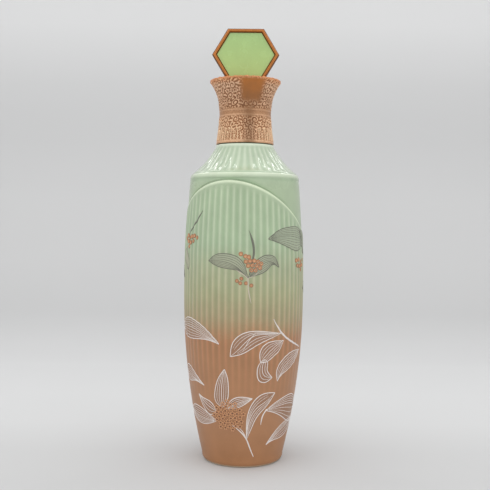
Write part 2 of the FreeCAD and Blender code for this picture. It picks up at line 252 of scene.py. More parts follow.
def piece(name, points, faces, body, slot, finish, replaces=(), attributes=None, sharp=None):
    """A finished mesh object that rides on a body.

    faces is an array of quads or a list of faces; attributes are values, one per point, by name;
    edges sharper than the angle sharp, in radians, stay crisp.
    """
    mesh = bpy.data.meshes.new(name)
    mesh.from_pydata(points.reshape(-1, 3), [], faces)
    mesh.polygons.foreach_set("use_smooth", np.ones(len(mesh.polygons), bool))
    for key, values in (attributes or {}).items():
        layer = mesh.attributes.new(key, "FLOAT", "POINT")
        layer.data.foreach_set("value", np.asarray(values, np.float32).ravel())
    if sharp:
        mesh.set_sharp_from_angle(angle=sharp)
    mesh.materials.append(finish)
    made = bpy.data.objects.new(name, mesh)
    bpy.context.scene.collection.objects.link(made)
    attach(made, body)
    if replaces:
        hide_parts(*replaces)
    return made


def turned_solid(rows, columns):
    """Closed faces of a turned form whose first and last rows meet the axis.

    The grid's points come first, then the two poles; the caps are fans of triangles.
    """
    quads = grid_faces(rows, columns, wrap_columns=True).tolist()
    first, last = rows * columns, rows * columns + 1
    top = (rows - 1) * columns
    for column in range(columns):
        beside = (column + 1) % columns
        quads.append([first, beside, column])
        quads.append([last, top + column, top + beside])
    return quads


def capped(grid):
    """Points and faces of a grid whose first and last rows close on poles at their middles."""
    points = np.concatenate([grid.reshape(-1, 3), grid[[0, -1]].mean(axis=1)])
    return points, turned_solid(*grid.shape[:2])


def hollow(grid):
    """Points and faces of a grid that wraps both ways."""
    return grid, grid_faces(*grid.shape[:2], wrap_rows=True, wrap_columns=True)


# ---- materials -------------------------------------------------------------------------------


class Recipe:
    """A material in the making: its shader, and nodes that are added by kind."""

    def __init__(self, name, **uniform):
        self.material = bpy.data.materials.new(name)
        self.material.use_nodes = True
        self.tree = self.material.node_tree
        self.shader = self.tree.nodes["Principled BSDF"]
        for socket, value in uniform.items():
            self.shader.inputs[socket.replace("_", " ")].default_value = value
        self.place = self.node("ShaderNodeTexCoord").outputs["Object"]

    def node(self, kind, inputs=None, **settings):
        """A node with its settings, and inputs that are values or other nodes' outputs."""
        made = self.tree.nodes.new(kind)
        for key, value in settings.items():
            setattr(made, key, value)
        for socket, value in (inputs or {}).items():
            if isinstance(value, bpy.types.NodeSocket):
                self.tree.links.new(value, made.inputs[socket])
            else:
                made.inputs[socket].default_value = value
        return made

    def math(self, operation, first, second=0.0, third=0.0):
        """The result of a Math node."""
        return self.node("ShaderNodeMath", {0: first, 1: second, 2: third},
                         operation=operation).outputs[0]

    def noise(self, scale, detail=4.0, roughness=0.55, vector=None):
        """Noise between 0 and 1 at a scale per metre."""
        inputs = {"Vector": vector or self.place, "Scale": scale, "Detail": detail,
                  "Roughness": roughness}
        return self.node("ShaderNodeTexNoise", inputs).outputs["Fac"]

    def sway(self, scale, detail, span):
        """Noise as a signed number, from minus to plus half its span."""
        return self.math("MULTIPLY_ADD", self.noise(scale, detail), span, -span / 2)

    def varied(self, scale, detail, low, high):
        """Noise turned into greys or colours: low up to 0.3, high from 0.7, and between."""
        return self.ramp(self.noise(scale, detail), [(0.3, low), (0.7, high)])

    def axes(self):
        """The object's coordinates as three separate outputs."""
        return self.node("ShaderNodeSeparateXYZ", {"Vector": self.place}).outputs

    def lathe_rings(self, pitch):
        """Fine rings round the axis: sin(pitch sqrt(x^2 + y^2))."""
        axes = self.axes()
        squares = [self.math("POWER", axes[name], 2.0) for name in ("X", "Y")]
        out = self.math("SQRT", self.math("ADD", *squares))
        return self.math("SINE", self.math("MULTIPLY", out, pitch))

    def ramp(self, value, stops):
        """A ColorRamp through (position, linear colour or grey) stops."""
        made = self.node("ShaderNodeValToRGB", {"Fac": value})
        elements = made.color_ramp.elements
        while len(elements) < len(stops):
            elements.new(0.5)
        for element, (position, shade) in zip(elements, sorted(stops, key=lambda stop: stop[0])):
            grey = isinstance(shade, (int, float))
            element.position = position
            element.color = (shade, shade, shade, 1) if grey else (*shade, 1)
        return made.outputs["Color"]

    def mix(self, share, first, second, blend="MIX"):
        """A colour between two, or blended by another mode."""
        made = self.node("ShaderNodeMix", data_type="RGBA", blend_type=blend)
        for socket, value in ((0, share), (6, first), (7, second)):
            if isinstance(value, bpy.types.NodeSocket):
                self.tree.links.new(value, made.inputs[socket])
            elif socket == 0:
                made.inputs[socket].default_value = value
            else:
                made.inputs[socket].default_value = (*value, 1)
        return made.outputs[2]

    def attribute(self, name):
        """A value carried by the mesh's points."""
        return self.node("ShaderNodeAttribute", attribute_name=name).outputs["Fac"]

    def surface(self, **outputs):
        """Link outputs to the shader's sockets."""
        for socket, value in outputs.items():
            self.tree.links.new(value, self.shader.inputs[socket.replace("_", " ")])

    def bump(self, height, strength, distance):
        """Raise the surface by a pattern, distance in metres."""
        made = self.node("ShaderNodeBump", {"Height": height, "Strength": strength,
                                            "Distance": distance})
        self.surface(Normal=made.outputs["Normal"])

    def finished(self, shade, rough, height, strength, distance, **more):
        """The material, with its colour, roughness, bump and any other outputs linked."""
        self.surface(Base_Color=shade, Roughness=rough, **more)
        self.bump(height, strength, distance)
        return self.material


def tinted(shade, factor):
    """A colour made lighter or darker by a factor."""
    return tuple(min(1.0, channel * factor) for channel in shade)


# ---- porcelain -------------------------------------------------------------------------------

BELLY_HEIGHT = 0.122
ENAMEL_ROOM = 0.00036
BELLY_RADIUS = BODY_HIGH.x
LOWER_ARC = 0.500
UPPER_ARC = 0.706
PLAIN_ARC = 0.782
FOOT_TOP = 0.0045
RIDGE_FOOT = (0.03866, 0.1994)
CONE_FOOT = (0.03655, 0.2037)
CONE_TOP = (0.0208, 0.2224)
SEAT = (0.0202, 0.2238)
STEP_TOP = 0.0020
GUTTER = 0.00006
GLAZE_RISE = 0.21
GLOSS_RISE = 0.25


def belly_radius(height):
    """The widest radius, less the room that the raised enamel needs within 45 mm of the belly."""
    away = smooth_step(np.abs(height - BELLY_HEIGHT), 0.0, 0.045)
    return BELLY_RADIUS - ENAMEL_ROOM * (1 - away)


def skirt_radius(height):
    """Crest radius of the skirt: arcs of 500 and 706 mm that are upright at the belly."""
    rise = height - BELLY_HEIGHT
    reach = np.where(rise < 0, LOWER_ARC, UPPER_ARC)
    return belly_radius(height) - reach + np.sqrt(reach**2 - rise**2)


def plain_radius(height, step):
    """Radius of the plain zone: an arc of 782 mm set in by the step, easing out under the ridge."""
    rise = height - BELLY_HEIGHT
    ease = 0.0003 * smooth_step(height, 0.172, 0.198)
    return belly_radius(height) - step - PLAIN_ARC + np.sqrt(PLAIN_ARC**2 - rise**2) + ease


def arch_height(sizes, bearing):
    """Height of the arch: an oblique plane through the turned wall, middle + rise cos(b - b0)."""
    return sizes.arch_middle + sizes.arch_rise * np.cos(bearing - sizes.arch_bearing)


def groove(turns, crest=1.0):
    """0 on a crest and 1 in the hollow: one minus a cosine arch raised to a power."""
    return 1 - np.abs(np.cos(np.pi * turns)) ** crest


def reed_share(sizes, bearing, height):
    """Share of the reeding's depth: full at the belly, fading to the foot and under the arch."""
    low = smooth_step(height, 0.030, 0.110) ** 1.1
    under_arch = smooth_step(arch_height(sizes, bearing) - height, 0.0008, 0.0060)
    return low * under_arch


def reed_hollow(sizes, bearing):
    """0 on the narrow crests of the reeds, 1 in the broad hollows between them."""
    return groove(sizes.reeds * (bearing - sizes.reed_bearing) / FULL_TURN, 2.6)


def reeded_radius(sizes, bearing, height):
    """Radius of the reeded skirt: the crests less the reeds' depth in their hollows."""
    return skirt_radius(height) - (sizes.reed_depth * reed_share(sizes, bearing, height)
                                   * reed_hollow(sizes, bearing))


def skirt_rows(sizes, bearing, count):
    """Rows from the foot to the arch, each a share of the way up, closer near the arch."""
    share = (np.arange(count) / (count - 1))[:, None]
    share = 1 - (1 - share) ** 1.25
    top = arch_height(sizes, bearing)[None, :]
    height = FOOT_TOP + (top - FOOT_TOP) * share
    strength = reed_share(sizes, bearing[None, :], height)
    # A pale band just under the arch's edge: thin glaze over the arris, with painted highlight.
    thin_lit_edge = np.exp(-((top - height) / 0.0007) ** 2)
    pooling_and_shade = strength * (0.78 * reed_hollow(sizes, bearing[None, :]) - 0.34) - 0.9 * thin_lit_edge
    return reeded_radius(sizes, bearing[None, :], height), height, pooling_and_shade


def crease_shade_share(bearing):
    """How strongly the painted shade in the crease above the arch shows: 1 over the arch's crown at
    the front and the back, 0.15 at its ends.
    """
    return 0.15 + 0.85 * np.exp(-((np.sin(bearing + math.radians(6)) / 0.42) ** 2))


def step_rows(sizes, bearing):
    """Rows over the step: a quarter round of 1.15 mm, then a soft foot. The quarter round is paled,
    thin glaze with painted highlight, and the foot is darkened with painted shade in the crease.
    """
    turn = np.radians([10, 22, 34, 46, 58, 70, 82])
    round_off = 1.15 * MM
    inward = np.concatenate([round_off * (1 - np.cos(turn)), [0.00102, 0.00104, 0.00098]])
    upward = np.concatenate([round_off * np.sin(turn), [0.00122, 0.0015, STEP_TOP]])
    # Pale on the quarter round: thin glaze and painted highlight. Dark at the foot: painted shade in
    # the crease.
    pooling_and_shade = np.array([-1.0, -1.0, -1.0, -1.0, -1.0, -0.9, -0.5, 0.1, 0.5, 0.7])[:, None]
    pooling_and_shade = np.where(pooling_and_shade > 0, pooling_and_shade * crease_shade_share(bearing)[None, :], pooling_and_shade)
    top = arch_height(sizes, bearing)[None, :]
    radius = skirt_radius(top) - inward[:, None]
    height = top + upward[:, None]
    return radius, height, pooling_and_shade


def plain_rows(sizes, bearing, count):
    """Rows from the step to the ridge, with a gutter above the arch and a softer one at the top, both
    darkened with painted shade.
    """
    share = (np.arange(1, count + 1) / (count + 1))[:, None]
    low = arch_height(sizes, bearing)[None, :] + STEP_TOP
    height = low + (RIDGE_FOOT[1] - low) * share**1.3
    gutter = np.exp(-((height - low) / 0.0018) ** 2)
    under_ridge = np.exp(-((RIDGE_FOOT[1] - 0.0006 - height) / 0.0014) ** 2)
    radius = plain_radius(height, sizes.step_depth) - GUTTER * gutter - GUTTER * under_ridge
    # The two gutters are darkened: painted shade in the creases, strongest over the arch's crown.
    return radius, height, np.maximum(0.8 * gutter * crease_shade_share(bearing), 0.45 * under_ridge)


def ring_rows(profile, pooling_and_shade, columns):
    """Rows of a plain turned stretch from its (radius, height) points."""
    profile = np.asarray(profile, float)
    shape = (len(profile), columns)
    return (np.broadcast_to(profile[:, :1], shape), np.broadcast_to(profile[:, 1:], shape),
            np.broadcast_to(np.asarray(pooling_and_shade, float).reshape(-1, 1), shape))


def cone_rows(sizes, bearing, count):
    """The concave cone shoulder, fluted: rows on an arc of 62 mm, pressed in along its normal."""
    profile = arc(CONE_FOOT, CONE_TOP, -0.062, count)
    slope = np.gradient(profile, axis=0)
    slope /= np.hypot(slope[:, 0], slope[:, 1])[:, None]
    share = np.arange(count) / count
    window = smooth_step(share, 0.0, 0.12) * (1 - smooth_step(share, 0.86, 1.0))
    depth = window[:, None] * groove(sizes.flutes * bearing / FULL_TURN, 1.6)[None, :]
    push = sizes.flute_depth * depth
    radius = profile[:, :1] - slope[:, 1:] * push
    height = profile[:, 1:] + slope[:, :1] * push
    # Darker in the flutes' hollows, part glaze pooling and part painted shade standing in for deeper
    # flutes; the fluted band as a whole is paler.
    return radius, height, 0.62 * depth - 0.28 * window[:, None]


def porcelain_grid(sizes, columns):
    """Radius, bearing, height and pooling of the whole body, underside to inner floor; the pooling is
    glaze pooling together with painted shade and painted highlight.
    """
    bearing = around(columns)
    underside = [(0.008, 0.0024), (0.0190, 0.0024), (0.0206, 0.0022), (0.0222, 0.0004),
                 (0.0228, 0.0), (0.0245, 0.0)]
    foot = arc((0.0266, 0.0), (float(skirt_radius(FOOT_TOP)), FOOT_TOP), 0.0042, 6)
    ridge = np.concatenate([arc(RIDGE_FOOT, (0.03715, 0.20300), 0.0042, 9),
                            [(0.03698, 0.20312), (0.03678, 0.20332)]])
    # Pale over the ridge's rounding, painted highlight with some thin glaze; darker at its foot and
    # where it meets the cone, painted shade in the creases.
    ridge_pool_light_and_shade = [0.3, 0.1, -0.1, -0.3, -0.4, -0.4, -0.5, -0.7, -0.7, 0.3, 0.4]
    seat = [(0.02085, 0.2227), (0.02085, 0.2232), (0.0206, 0.2236), SEAT, (0.0175, SEAT[1])]
    neck = [(0.0145, SEAT[1]), (0.0145, 0.2560), (0.0156, 0.2580), (0.0156, 0.2618),
            (0.0153, 0.2626), (0.0146, 0.2630), (0.0115, 0.2630), (0.0101, 0.2628),
            (0.0095, 0.2620)]
    inside = [(0.0095, 0.2400), (0.0095, 0.2225), (0.0105, 0.2200), (0.0320, 0.1990),
              (0.0334, 0.1970), (0.0350, 0.1820), (0.0368, 0.1560), (0.0376, 0.1220),
              (0.0366, 0.0900), (0.0338, 0.0600), (0.0309, 0.0400), (0.0268, 0.0190),
              (0.0245, 0.0125), (0.0190, 0.0087), (0.0080, 0.0085)]
    blocks = [
        ring_rows(underside, np.zeros(len(underside)), columns),
        ring_rows(foot, np.zeros(len(foot)), columns),
        skirt_rows(sizes, bearing, 56),
        step_rows(sizes, bearing),
        plain_rows(sizes, bearing, 18),
        ring_rows(ridge, ridge_pool_light_and_shade, columns),
        cone_rows(sizes, bearing, 20),
        # Pale on the ledge under the collar, painted highlight; dark at its inner end, painted shadow
        # under the collar's overhang.
        ring_rows(seat, [-0.6, -0.8, -0.8, -0.2, 0.5], columns),
        ring_rows(neck, np.zeros(len(neck)), columns),
        ring_rows(inside, np.zeros(len(inside)), columns),
    ]
    radius, height, pooling_and_shade = (np.concatenate([block[i] for block in blocks]) for i in range(3))
    return radius, bearing[None, :], height, pooling_and_shade


def coat_colour(made, glaze):
    """The glaze's colour up the bottle, from a clay coat through straw to celadon, and its rise."""
    rise = made.axes()["Z"]
    drift, spray = made.sway(24.0, 3.0, 0.016), made.sway(1500.0, 2.0, 0.010)
    fade = made.math("ADD", made.math("ADD", rise, drift), spray)
    stops = [(0.0, tuple(glaze.umber)), (0.16, tinted(glaze.clay, 0.99)),
             (0.43, tuple(glaze.clay)), (0.50, tuple(glaze.sand)), (0.58, tuple(glaze.straw)),
             (0.66, tuple(glaze.moss)), (0.74, tuple(glaze.sage)),
             (0.93, tinted(glaze.sage, 1.04)), (0.985, tuple(glaze.celadon))]
    return made.ramp(made.math("DIVIDE", fade, GLAZE_RISE), stops), rise, fade


def porcelain(glaze):
    """Celadon glaze that pools in the grooves, fading through straw into a sprayed clay coat. The
    pooling darkens hollows and creases and pales crests and edges: part real pooling and thinning of
    the glaze, part painted shade and painted highlight.
    """
    made = Recipe("porcelain_glaze", Specular_IOR_Level=0.5, Coat_Roughness=0.06, Coat_IOR=1.5)
    coat, rise, fade = coat_colour(made, glaze)
    base = made.mix(1.0, coat, made.varied(70.0, 5.0, 0.93, 1.05), "MULTIPLY")
    # Pooling above 0 darkens the glaze and below 0 pales it: real glaze pooling and thinning, with
    # painted shade in hollows and creases and painted highlight on crests and edges.
    pooling_and_shade = made.attribute("pooling_and_shade")
    pool_and_shade_share = made.math("MAXIMUM", pooling_and_shade, 0.0)
    thin = made.math("MAXIMUM", made.math("MULTIPLY", pooling_and_shade, -1.0), 0.0)
    pool_and_shade_colour = made.mix(1.0, base, (0.66, 0.80, 0.68), "MULTIPLY")
    pale = made.mix(1.0, base, (1.70, 1.55, 1.70), "MULTIPLY")
    base = made.mix(made.math("MULTIPLY", pool_and_shade_share, 0.9), base, pool_and_shade_colour)
    base = made.mix(thin, base, pale)
    bare = made.ramp(made.math("DIVIDE", rise, 0.004), [(0.18, 1.0), (0.42, 0.0)])
    base = made.mix(bare, base, tuple(glaze.foot))
    climb = made.math("DIVIDE", fade, GLOSS_RISE)
    gloss = made.ramp(climb, [(0.3, 0.50), (0.5, 0.42), (0.66, 0.36), (0.79, 0.27), (0.84, 0.12)])
    coarse = made.ramp(made.math("DIVIDE", rise, GLOSS_RISE), [(0.35, 1.0), (0.6, 0.15)])
    return made.finished(base, made.math("ADD", gloss, made.sway(120.0, 4.0, 0.10)),
                         made.math("MULTIPLY", made.noise(2600.0, 2.0), coarse), 0.35, 0.00008,
                         Coat_Weight=made.ramp(climb, [(0.76, 0.18), (0.84, 0.7)]))


class SAKE_OT_porcelain(bpy.types.Operator):
    """Build the fluted and reeded porcelain body, outside and inside"""

    bl_idname = "sake.porcelain"
    bl_label = "Porcelain Body"

    def execute(self, context):
        settings = context.scene.sake_bottle
        columns = 10 * settings.body.reeds
        radius, bearing, height, pooling_and_shade = porcelain_grid(settings.body, columns)
        grid = turned(radius, bearing, height)
        values = np.concatenate([pooling_and_shade.ravel(), [0, 0]])
        piece("porcelain_body", *capped(grid), BOTTLE, "porcelain", porcelain(settings.glaze),
              replaces=["bottle_body"], attributes={"pooling_and_shade": values}, sharp=math.radians(50))
        return {"FINISHED"}


# ---- enamel ----------------------------------------------------------------------------------

# Drawn points are (bearing in degrees, height in millimetres) on the skirt.

DEGREE = math.radians(1)
SUNK = 0.00004
STROKE_STEP = 0.65
FILM_STEP = 0.75
GOLDEN_ANGLE = math.radians(137.5)


def degree_length(height):
    """Millimetres of skirt per degree of bearing at heights in millimetres."""
    return DEGREE * skirt_radius(np.asarray(height) * MM) / MM


def chord_length(points):
    """Length in millimetres of the straight runs between drawn points."""
    span = np.diff(points, axis=0)
    return np.hypot(span[:, 0] * degree_length(points[:-1, 1]), span[:, 1]).sum()


def smooth_curve(points, count):
    """Count points on a natural cubic spline through a few drawn points.

    Its bends M solve g0 M0 + 2 (g0 + g1) M1 + g1 M2 = 6 (slope1 - slope0), and are 0 at its ends.
    """
    knots = np.asarray(points, float)
    span = np.diff(knots, axis=0)
    gap = np.hypot(span[:, 0] * degree_length(knots[:-1, 1]), span[:, 1])
    place = np.concatenate([[0], np.cumsum(gap)])
    slope = span / gap[:, None]
    inner = np.arange(1, len(knots) - 1)
    system = np.eye(len(knots))
    system[inner, inner - 1] = gap[:-1]
    system[inner, inner] = 2 * (gap[:-1] + gap[1:])
    system[inner, inner + 1] = gap[1:]
    change = np.zeros_like(knots)
    change[inner] = 6 * np.diff(slope, axis=0)
    bend = np.linalg.solve(system, change)
    where = np.linspace(0, place[-1], count)
    cell = np.clip(np.searchsorted(place, where, side="right") - 1, 0, len(gap) - 1)
    width = gap[cell][:, None]
    left, right = (where - place[cell])[:, None], (place[cell + 1] - where)[:, None]
    return ((bend[cell] * right**3 + bend[cell + 1] * left**3) / (6 * width)
            + (knots[cell] / width - bend[cell] * width / 6) * right
            + (knots[cell + 1] / width - bend[cell + 1] * width / 6) * left)


def slab_faces(rows, width):
    """Quads of a closed slab whose every row is width points on top and as many back below."""
    ring = 2 * width
    inner = np.arange(width - 1)
    start = np.stack([inner + 1, inner, ring - 1 - inner, ring - 2 - inner], axis=-1)
    finish = start[:, ::-1] + (rows - 1) * ring
    return np.concatenate([grid_faces(rows, ring, wrap_columns=True), start, finish])


class Enamel:
    """Strokes, films and beads laid on the skirt, turned and raised to their motif's place."""

    def __init__(self, sizes, body):
        self.sizes, self.body = sizes, body
        self.lines, self.films, self.beads = [], [], []
        self.turn = self.rise = 0.0

    def placed(self, points):
        """Drawn points moved to the motif's place."""
        return np.asarray(points, float) + (self.turn, self.rise)

    def on_skirt(self, drawn, lift):
        """Drawn points as points in space, lifted off the reeded surface."""
        bearing, height = drawn[..., 0] * DEGREE, drawn[..., 1] * MM
        return turned(reeded_radius(self.body, bearing, height) + lift, bearing, height)

    def slab(self, top, bottom, lift, values):
        """A closed slab from two sheets of drawn points, the bottom one sunk in the glaze."""
        grid = np.concatenate(
            [self.on_skirt(top, lift), self.on_skirt(bottom[:, ::-1], -SUNK)], axis=1)
        shades = np.concatenate([values, values[:, ::-1]], axis=1)
        return grid.reshape(-1, 3), slab_faces(*top.shape[:2]), shades.ravel()

    def ribbon(self, path, width, tone, ends):
        """A raised line along a sampled path, thinner at its ends by the two shares given."""
        scale = np.stack([degree_length(path[:, 1]), np.ones(len(path))], axis=-1)
        along = np.gradient(path, axis=0) * scale
        along /= np.hypot(along[:, 0], along[:, 1])[:, None]
        left = np.stack([-along[:, 1], along[:, 0]], axis=-1) / scale
        taper = np.interp(np.linspace(0, 1, len(path)), [0, 0.3, 0.7, 1], [ends[0], 1, 1, ends[1]])
        reach = (left * (taper * width / MM / 2)[:, None])[:, None, :]
        side = np.array([1.0, -1.0])[None, :, None]
        values = np.full((len(path), 2), tone)
        self.lines.append(self.slab(path[:, None] + 0.55 * side * reach,
                                    path[:, None] + 1.1 * side * reach, self.sizes.lift, values))

    def stroke(self, points, width, tone, ends=(0.4, 0.4)):
        """A raised line along a smooth curve through a few drawn points."""
        points = self.placed(points)
        count = max(4, int(chord_length(points) / STROKE_STEP) + 2)
        self.ribbon(smooth_curve(points, count), width, tone, ends)

    def vein(self, rib, edge, start, finish, inner, outer, tone):
        """A fine line from a share inner of the way between rib and edge to a share outer."""
        share = np.linspace(0, 1, len(rib))
        count = max(4, int(chord_length(rib) * (finish - start) / STROKE_STEP))
        along = np.linspace(start, finish, count)
        out = np.linspace(inner, outer, count)[:, None]
        picked = [np.stack([np.interp(along, share, curve[:, k]) for k in (0, 1)], axis=-1)
                  for curve in (rib, edge)]
        self.ribbon(picked[0] * (1 - out) + picked[1] * out, self.sizes.vein, tone, (0.6, 0.5))

    def leaf(self, base, tip, middle, first, second, veins=4, sweep=0.0, tone=1.0, film=0.5,
             fine=(0.9, 0.75)):
        """A leaf from base to tip: a film, two edges, a midrib, and veins on both sides.

        A point of the leaf is rib (1 - s) + edge s. Veins keep s where sweep is 0, and run from the
        rib to the edge where sweep is 1.
        """
        curves = [self.placed([base, *inner, tip]) for inner in (middle, first, second)]
        rows = max(12, int(max(chord_length(curve) for curve in curves) / STROKE_STEP))
        rib, left, right = (smooth_curve(curve, rows) for curve in curves)
        along, across = rib[-1] - rib[0], (left - right).mean(axis=0)
        if along[0] * across[1] - along[1] * across[0] < 0:
            left, right = right, left
        width = chord_length(np.stack([left[rows // 2], rib[rows // 2], right[rows // 2]]))
        side = np.linspace(-1, 1, 2 * max(2, int(width / FILM_STEP / 2)) + 1)[None, :, None]
        sheet = (rib[:, None] + (left - rib)[:, None] * np.maximum(-side, 0)
                 + (right - rib)[:, None] * np.maximum(side, 0))[1:-1]
        share = np.linspace(0, 1, rows)[1:-1, None]
        density = film + (1 - film) * smooth_step(share, 0.68, 0.94)
        density = np.broadcast_to(density, sheet.shape[:2])
        self.films.append(self.slab(sheet, sheet, 0.5 * self.sizes.lift, density))
        for number in range(veins):
            order = (number + 1) / (veins + 1)
            start = (1 - sweep) * 0.07 + sweep * (0.05 + 0.66 * number / veins)
            finish = (1 - sweep) * 0.94 + sweep * min(start + 0.36, 0.97)
            inner, outer = (1 - sweep) * order + sweep * 0.05, (1 - sweep) * order + sweep * 0.93
            for edge in (left, right):
                self.vein(rib, edge, start, finish, inner, outer, fine[number % 2])
        self.ribbon(rib, 0.8 * self.sizes.outline, 0.85 * tone, (0.7, 0.5))
        for edge in (left, right):
            self.ribbon(edge, self.sizes.outline, tone, (0.5, 0.9))

    def blooms(self, centres, radius=1.65 * MM, tone=0.75, lobes=0, notch=0.0, relief=0.36):
        """Small domed rings, or lobed rosettes, round centres: r = radius (1 - notch (1 - |cos|)).

        Each is closed underneath and has a dimple in its middle.
        """
        section = np.array([(0.06, 0.2), (0.34, 0.25), (0.50, 0.75), (0.68, 1.0), (0.86, 0.75),
                            (1.0, -0.2), (0.06, -0.2)])
        # The tone across the section paints light and shade: on rosettes it follows the relief, dark
        # in the dimple and brightest on the crest; berries have light eyes and darken towards their
        # foot, a painted shade where they crowd.
        shade = np.array([0.0, 0.05, 0.6, 1.0, 0.85, 0.4, 0.4] if lobes
                         else [1.3, 1.2, 0.9, 0.6, 0.4, 0.3, 0.3])
        turn = around(4 * lobes if lobes else 12)
        outline = radius / MM * (1 - notch * (1 - np.abs(np.cos(lobes * turn / 2))))
        reach = section[:, :1] * outline[None, :]
        centres = self.placed(centres)[:, None, None, :]
        drawn = np.stack([centres[..., 0] + reach * np.sin(turn) / degree_length(centres[..., 1]),
                          centres[..., 1] + reach * np.cos(turn)], axis=-1)
        grid = self.on_skirt(drawn, section[None, :, 1:] * relief * MM)
        one = grid_faces(len(section), len(turn), wrap_rows=True, wrap_columns=True)
        starts = np.arange(len(centres))[:, None, None] * (len(section) * len(turn))
        values = np.broadcast_to(tone * shade[None, :, None], grid.shape[:3])
        self.beads.append((grid.reshape(-1, 3), (one[None] + starts).reshape(-1, 4),
                           values.ravel()))


def lower_spray(enamel):
    """Leaves, petals and a flower head in white line on a lilac film."""
    leaf, stroke = enamel.leaf, enamel.stroke
    bold = 1.5 * enamel.sizes.outline
    leaf((-84, 95), (-23, 86), [(-55, 95)], [(-70, 101), (-50, 100), (-33, 93)],
         [(-72, 89), (-50, 88), (-33, 88)], veins=3)
    leaf((38, 93), (-12, 78), [(24, 93), (10, 92), (-4, 83)], [(18, 95), (1, 94), (-9, 88)],
         [(26, 90), (11, 85), (-1, 80)], veins=2, sweep=0.15)
    leaf((41, 88), (17, 74), [(31, 84), (23, 79)], [(31, 88), (21, 86), (16, 80)],
         [(36, 81), (29, 77), (22, 74)], veins=2, sweep=0.1)
    leaf((21, 76), (30, 63), [(19, 70), (21, 65)], [(16, 73), (14, 67), (17, 61), (22, 60)],
         [(24, 74), (24, 69), (26, 66)], veins=1)
    leaf((72, 79), (37, 60), [(58, 75), (44, 69)], [(55, 79), (41, 74), (35, 67)],
         [(60, 71), (47, 66), (40, 63)], veins=2)
    leaf((-84, 64), (-43, 56), [(-64, 61)], [(-72, 68), (-56, 63)], [(-72, 57), (-58, 58)],
         veins=2)
    leaf((-22, 42), (-18, 69), [(-22, 52), (-20.5, 61)], [(-29, 46), (-29, 54), (-25, 62)],
         [(-16.5, 47), (-14.5, 56), (-15.5, 64)], veins=2)
    leaf((-29, 39), (-53, 49), [(-42, 43)], [(-36, 45), (-46, 47)], [(-38, 36), (-47, 41)],
         veins=1)
    leaf((-30, 32), (-80, 36), [(-56, 33)], [(-46, 38), (-66, 40)], [(-46, 28.5), (-68, 30)],
         veins=3, film=0.6)
    leaf((-17.5, 41.5), (10, 49), [(-6, 45.5)], [(-14, 46), (-7, 49.5), (2, 50)],
         [(-6, 42.5), (3, 45.5)], veins=2)
    leaf((5, 20), (35, 52), [(8, 34), (15, 42), (26, 47)], [(5, 34), (10, 45), (20, 51.5)],
         [(9, 26), (17, 37), (27, 44)], veins=2, sweep=0.15)
    leaf((88, 37), (26, 40), [(62, 42), (42, 42)], [(66, 48), (46, 47), (35, 44)],
         [(76, 28), (52, 33), (36, 38)], veins=3)
    leaf((82, 30), (31, 15), [(60, 26), (44, 21)], [(66, 30), (50, 27), (37, 20)],
         [(68, 21), (52, 18), (38, 17)], veins=2)
    stroke([(12, 94.5), (6.5, 90), (0, 82)], 0.8 * enamel.sizes.outline, 0.8)
    stroke([(29, 103), (39, 93), (54, 86), (72, 81)], 1.3 * bold, 0.85, ends=(0.4, 0.5))
    stroke([(27, 41), (23, 37), (21, 30)], 0.9 * bold, 0.9, ends=(1.0, 0.3))
    stroke([(-11, 30), (4, 21), (10, 13), (15, 7)], 0.9 * bold, 0.95, ends=(0.5, 0.6))
    stroke([(-7, 30), (0, 26), (5, 20)], 0.5 * bold, 0.9)
    number = np.arange(37)
    out = 10.8 * np.sqrt((number + 0.5) / len(number))
    turn = number * GOLDEN_ANGLE
    wide = 1 / float(degree_length(37.0))
    heads = np.stack([-15 + out * np.sin(turn) * wide, 36.5 + out * np.cos(turn)], axis=-1)
    enamel.blooms(heads, 1.9 * MM, 1.0, lobes=5, notch=0.45, relief=0.55)


def middle_motif(enamel):
    """Two spread leaves with a spike, berries and a stem, in grey lustre line."""
    enamel.leaf((4, 131), (-34, 142), [(-8, 139), (-21, 142)], [(-4, 144), (-17, 147), (-27, 146)],
                [(-2, 135), (-13, 137), (-26, 139)], veins=3, tone=0.15, fine=(0.0, 0.15))
    enamel.leaf((4, 131), (34, 138), [(14, 138), (24, 142)], [(9, 140), (20, 146), (29, 145)],
                [(12, 133), (21, 136), (28, 140)], veins=3, tone=0.05, film=0.75,
                fine=(0.0, 0.1))
    enamel.stroke([(4.5, 163), (8, 155), (9, 147), (7, 140)], 1.5 * MM, 0.0, ends=(0.1, 0.7))
    enamel.stroke([(-8, 137), (0, 133), (4, 131)], 0.7 * MM, 1.0, ends=(0.2, 1.0))
    enamel.stroke([(14, 135), (8, 132), (4, 131)], 0.7 * MM, 1.0, ends=(0.2, 1.0))
    enamel.stroke([(4, 131), (4.5, 123), (7, 114)], 0.85 * MM, 0.9, ends=(1.0, 0.3))
    enamel.blooms([(-2.7, 147), (1.5, 145.5), (4.5, 145), (2, 142), (5.7, 142.3), (9.5, 142.5),
                   (13, 141.8), (16, 140.5), (4, 139.2), (7.8, 139.4), (11.8, 139.2),
                   (14.8, 137.8), (7, 136.2), (10.6, 136.2)])
    enamel.blooms([(-6, 129), (-2, 130.5), (2.2, 127.5), (7, 126), (-3, 127.5)],
                  1.4 * MM, 0.55, relief=0.10)


def left_motif(enamel):
    """A spike, a cluster of berries and one hanging leaf."""
    enamel.stroke([(-44, 176), (-50, 170), (-57, 165), (-64, 160)], 1.3 * MM, 0.0, ends=(0.2, 0.6))
    enamel.blooms([(-50, 157.3), (-54.5, 158.5), (-59, 158), (-63, 157), (-67, 158.5), (-56, 155),
                   (-61, 153.8), (-66, 154.5), (-71, 156.5), (-64.5, 151)])
    enamel.leaf((-69, 151), (-66, 135), [(-70, 143)], [(-75, 147), (-73, 140)],
                [(-67, 146), (-64, 140)], veins=1, tone=0.3, film=0.6)


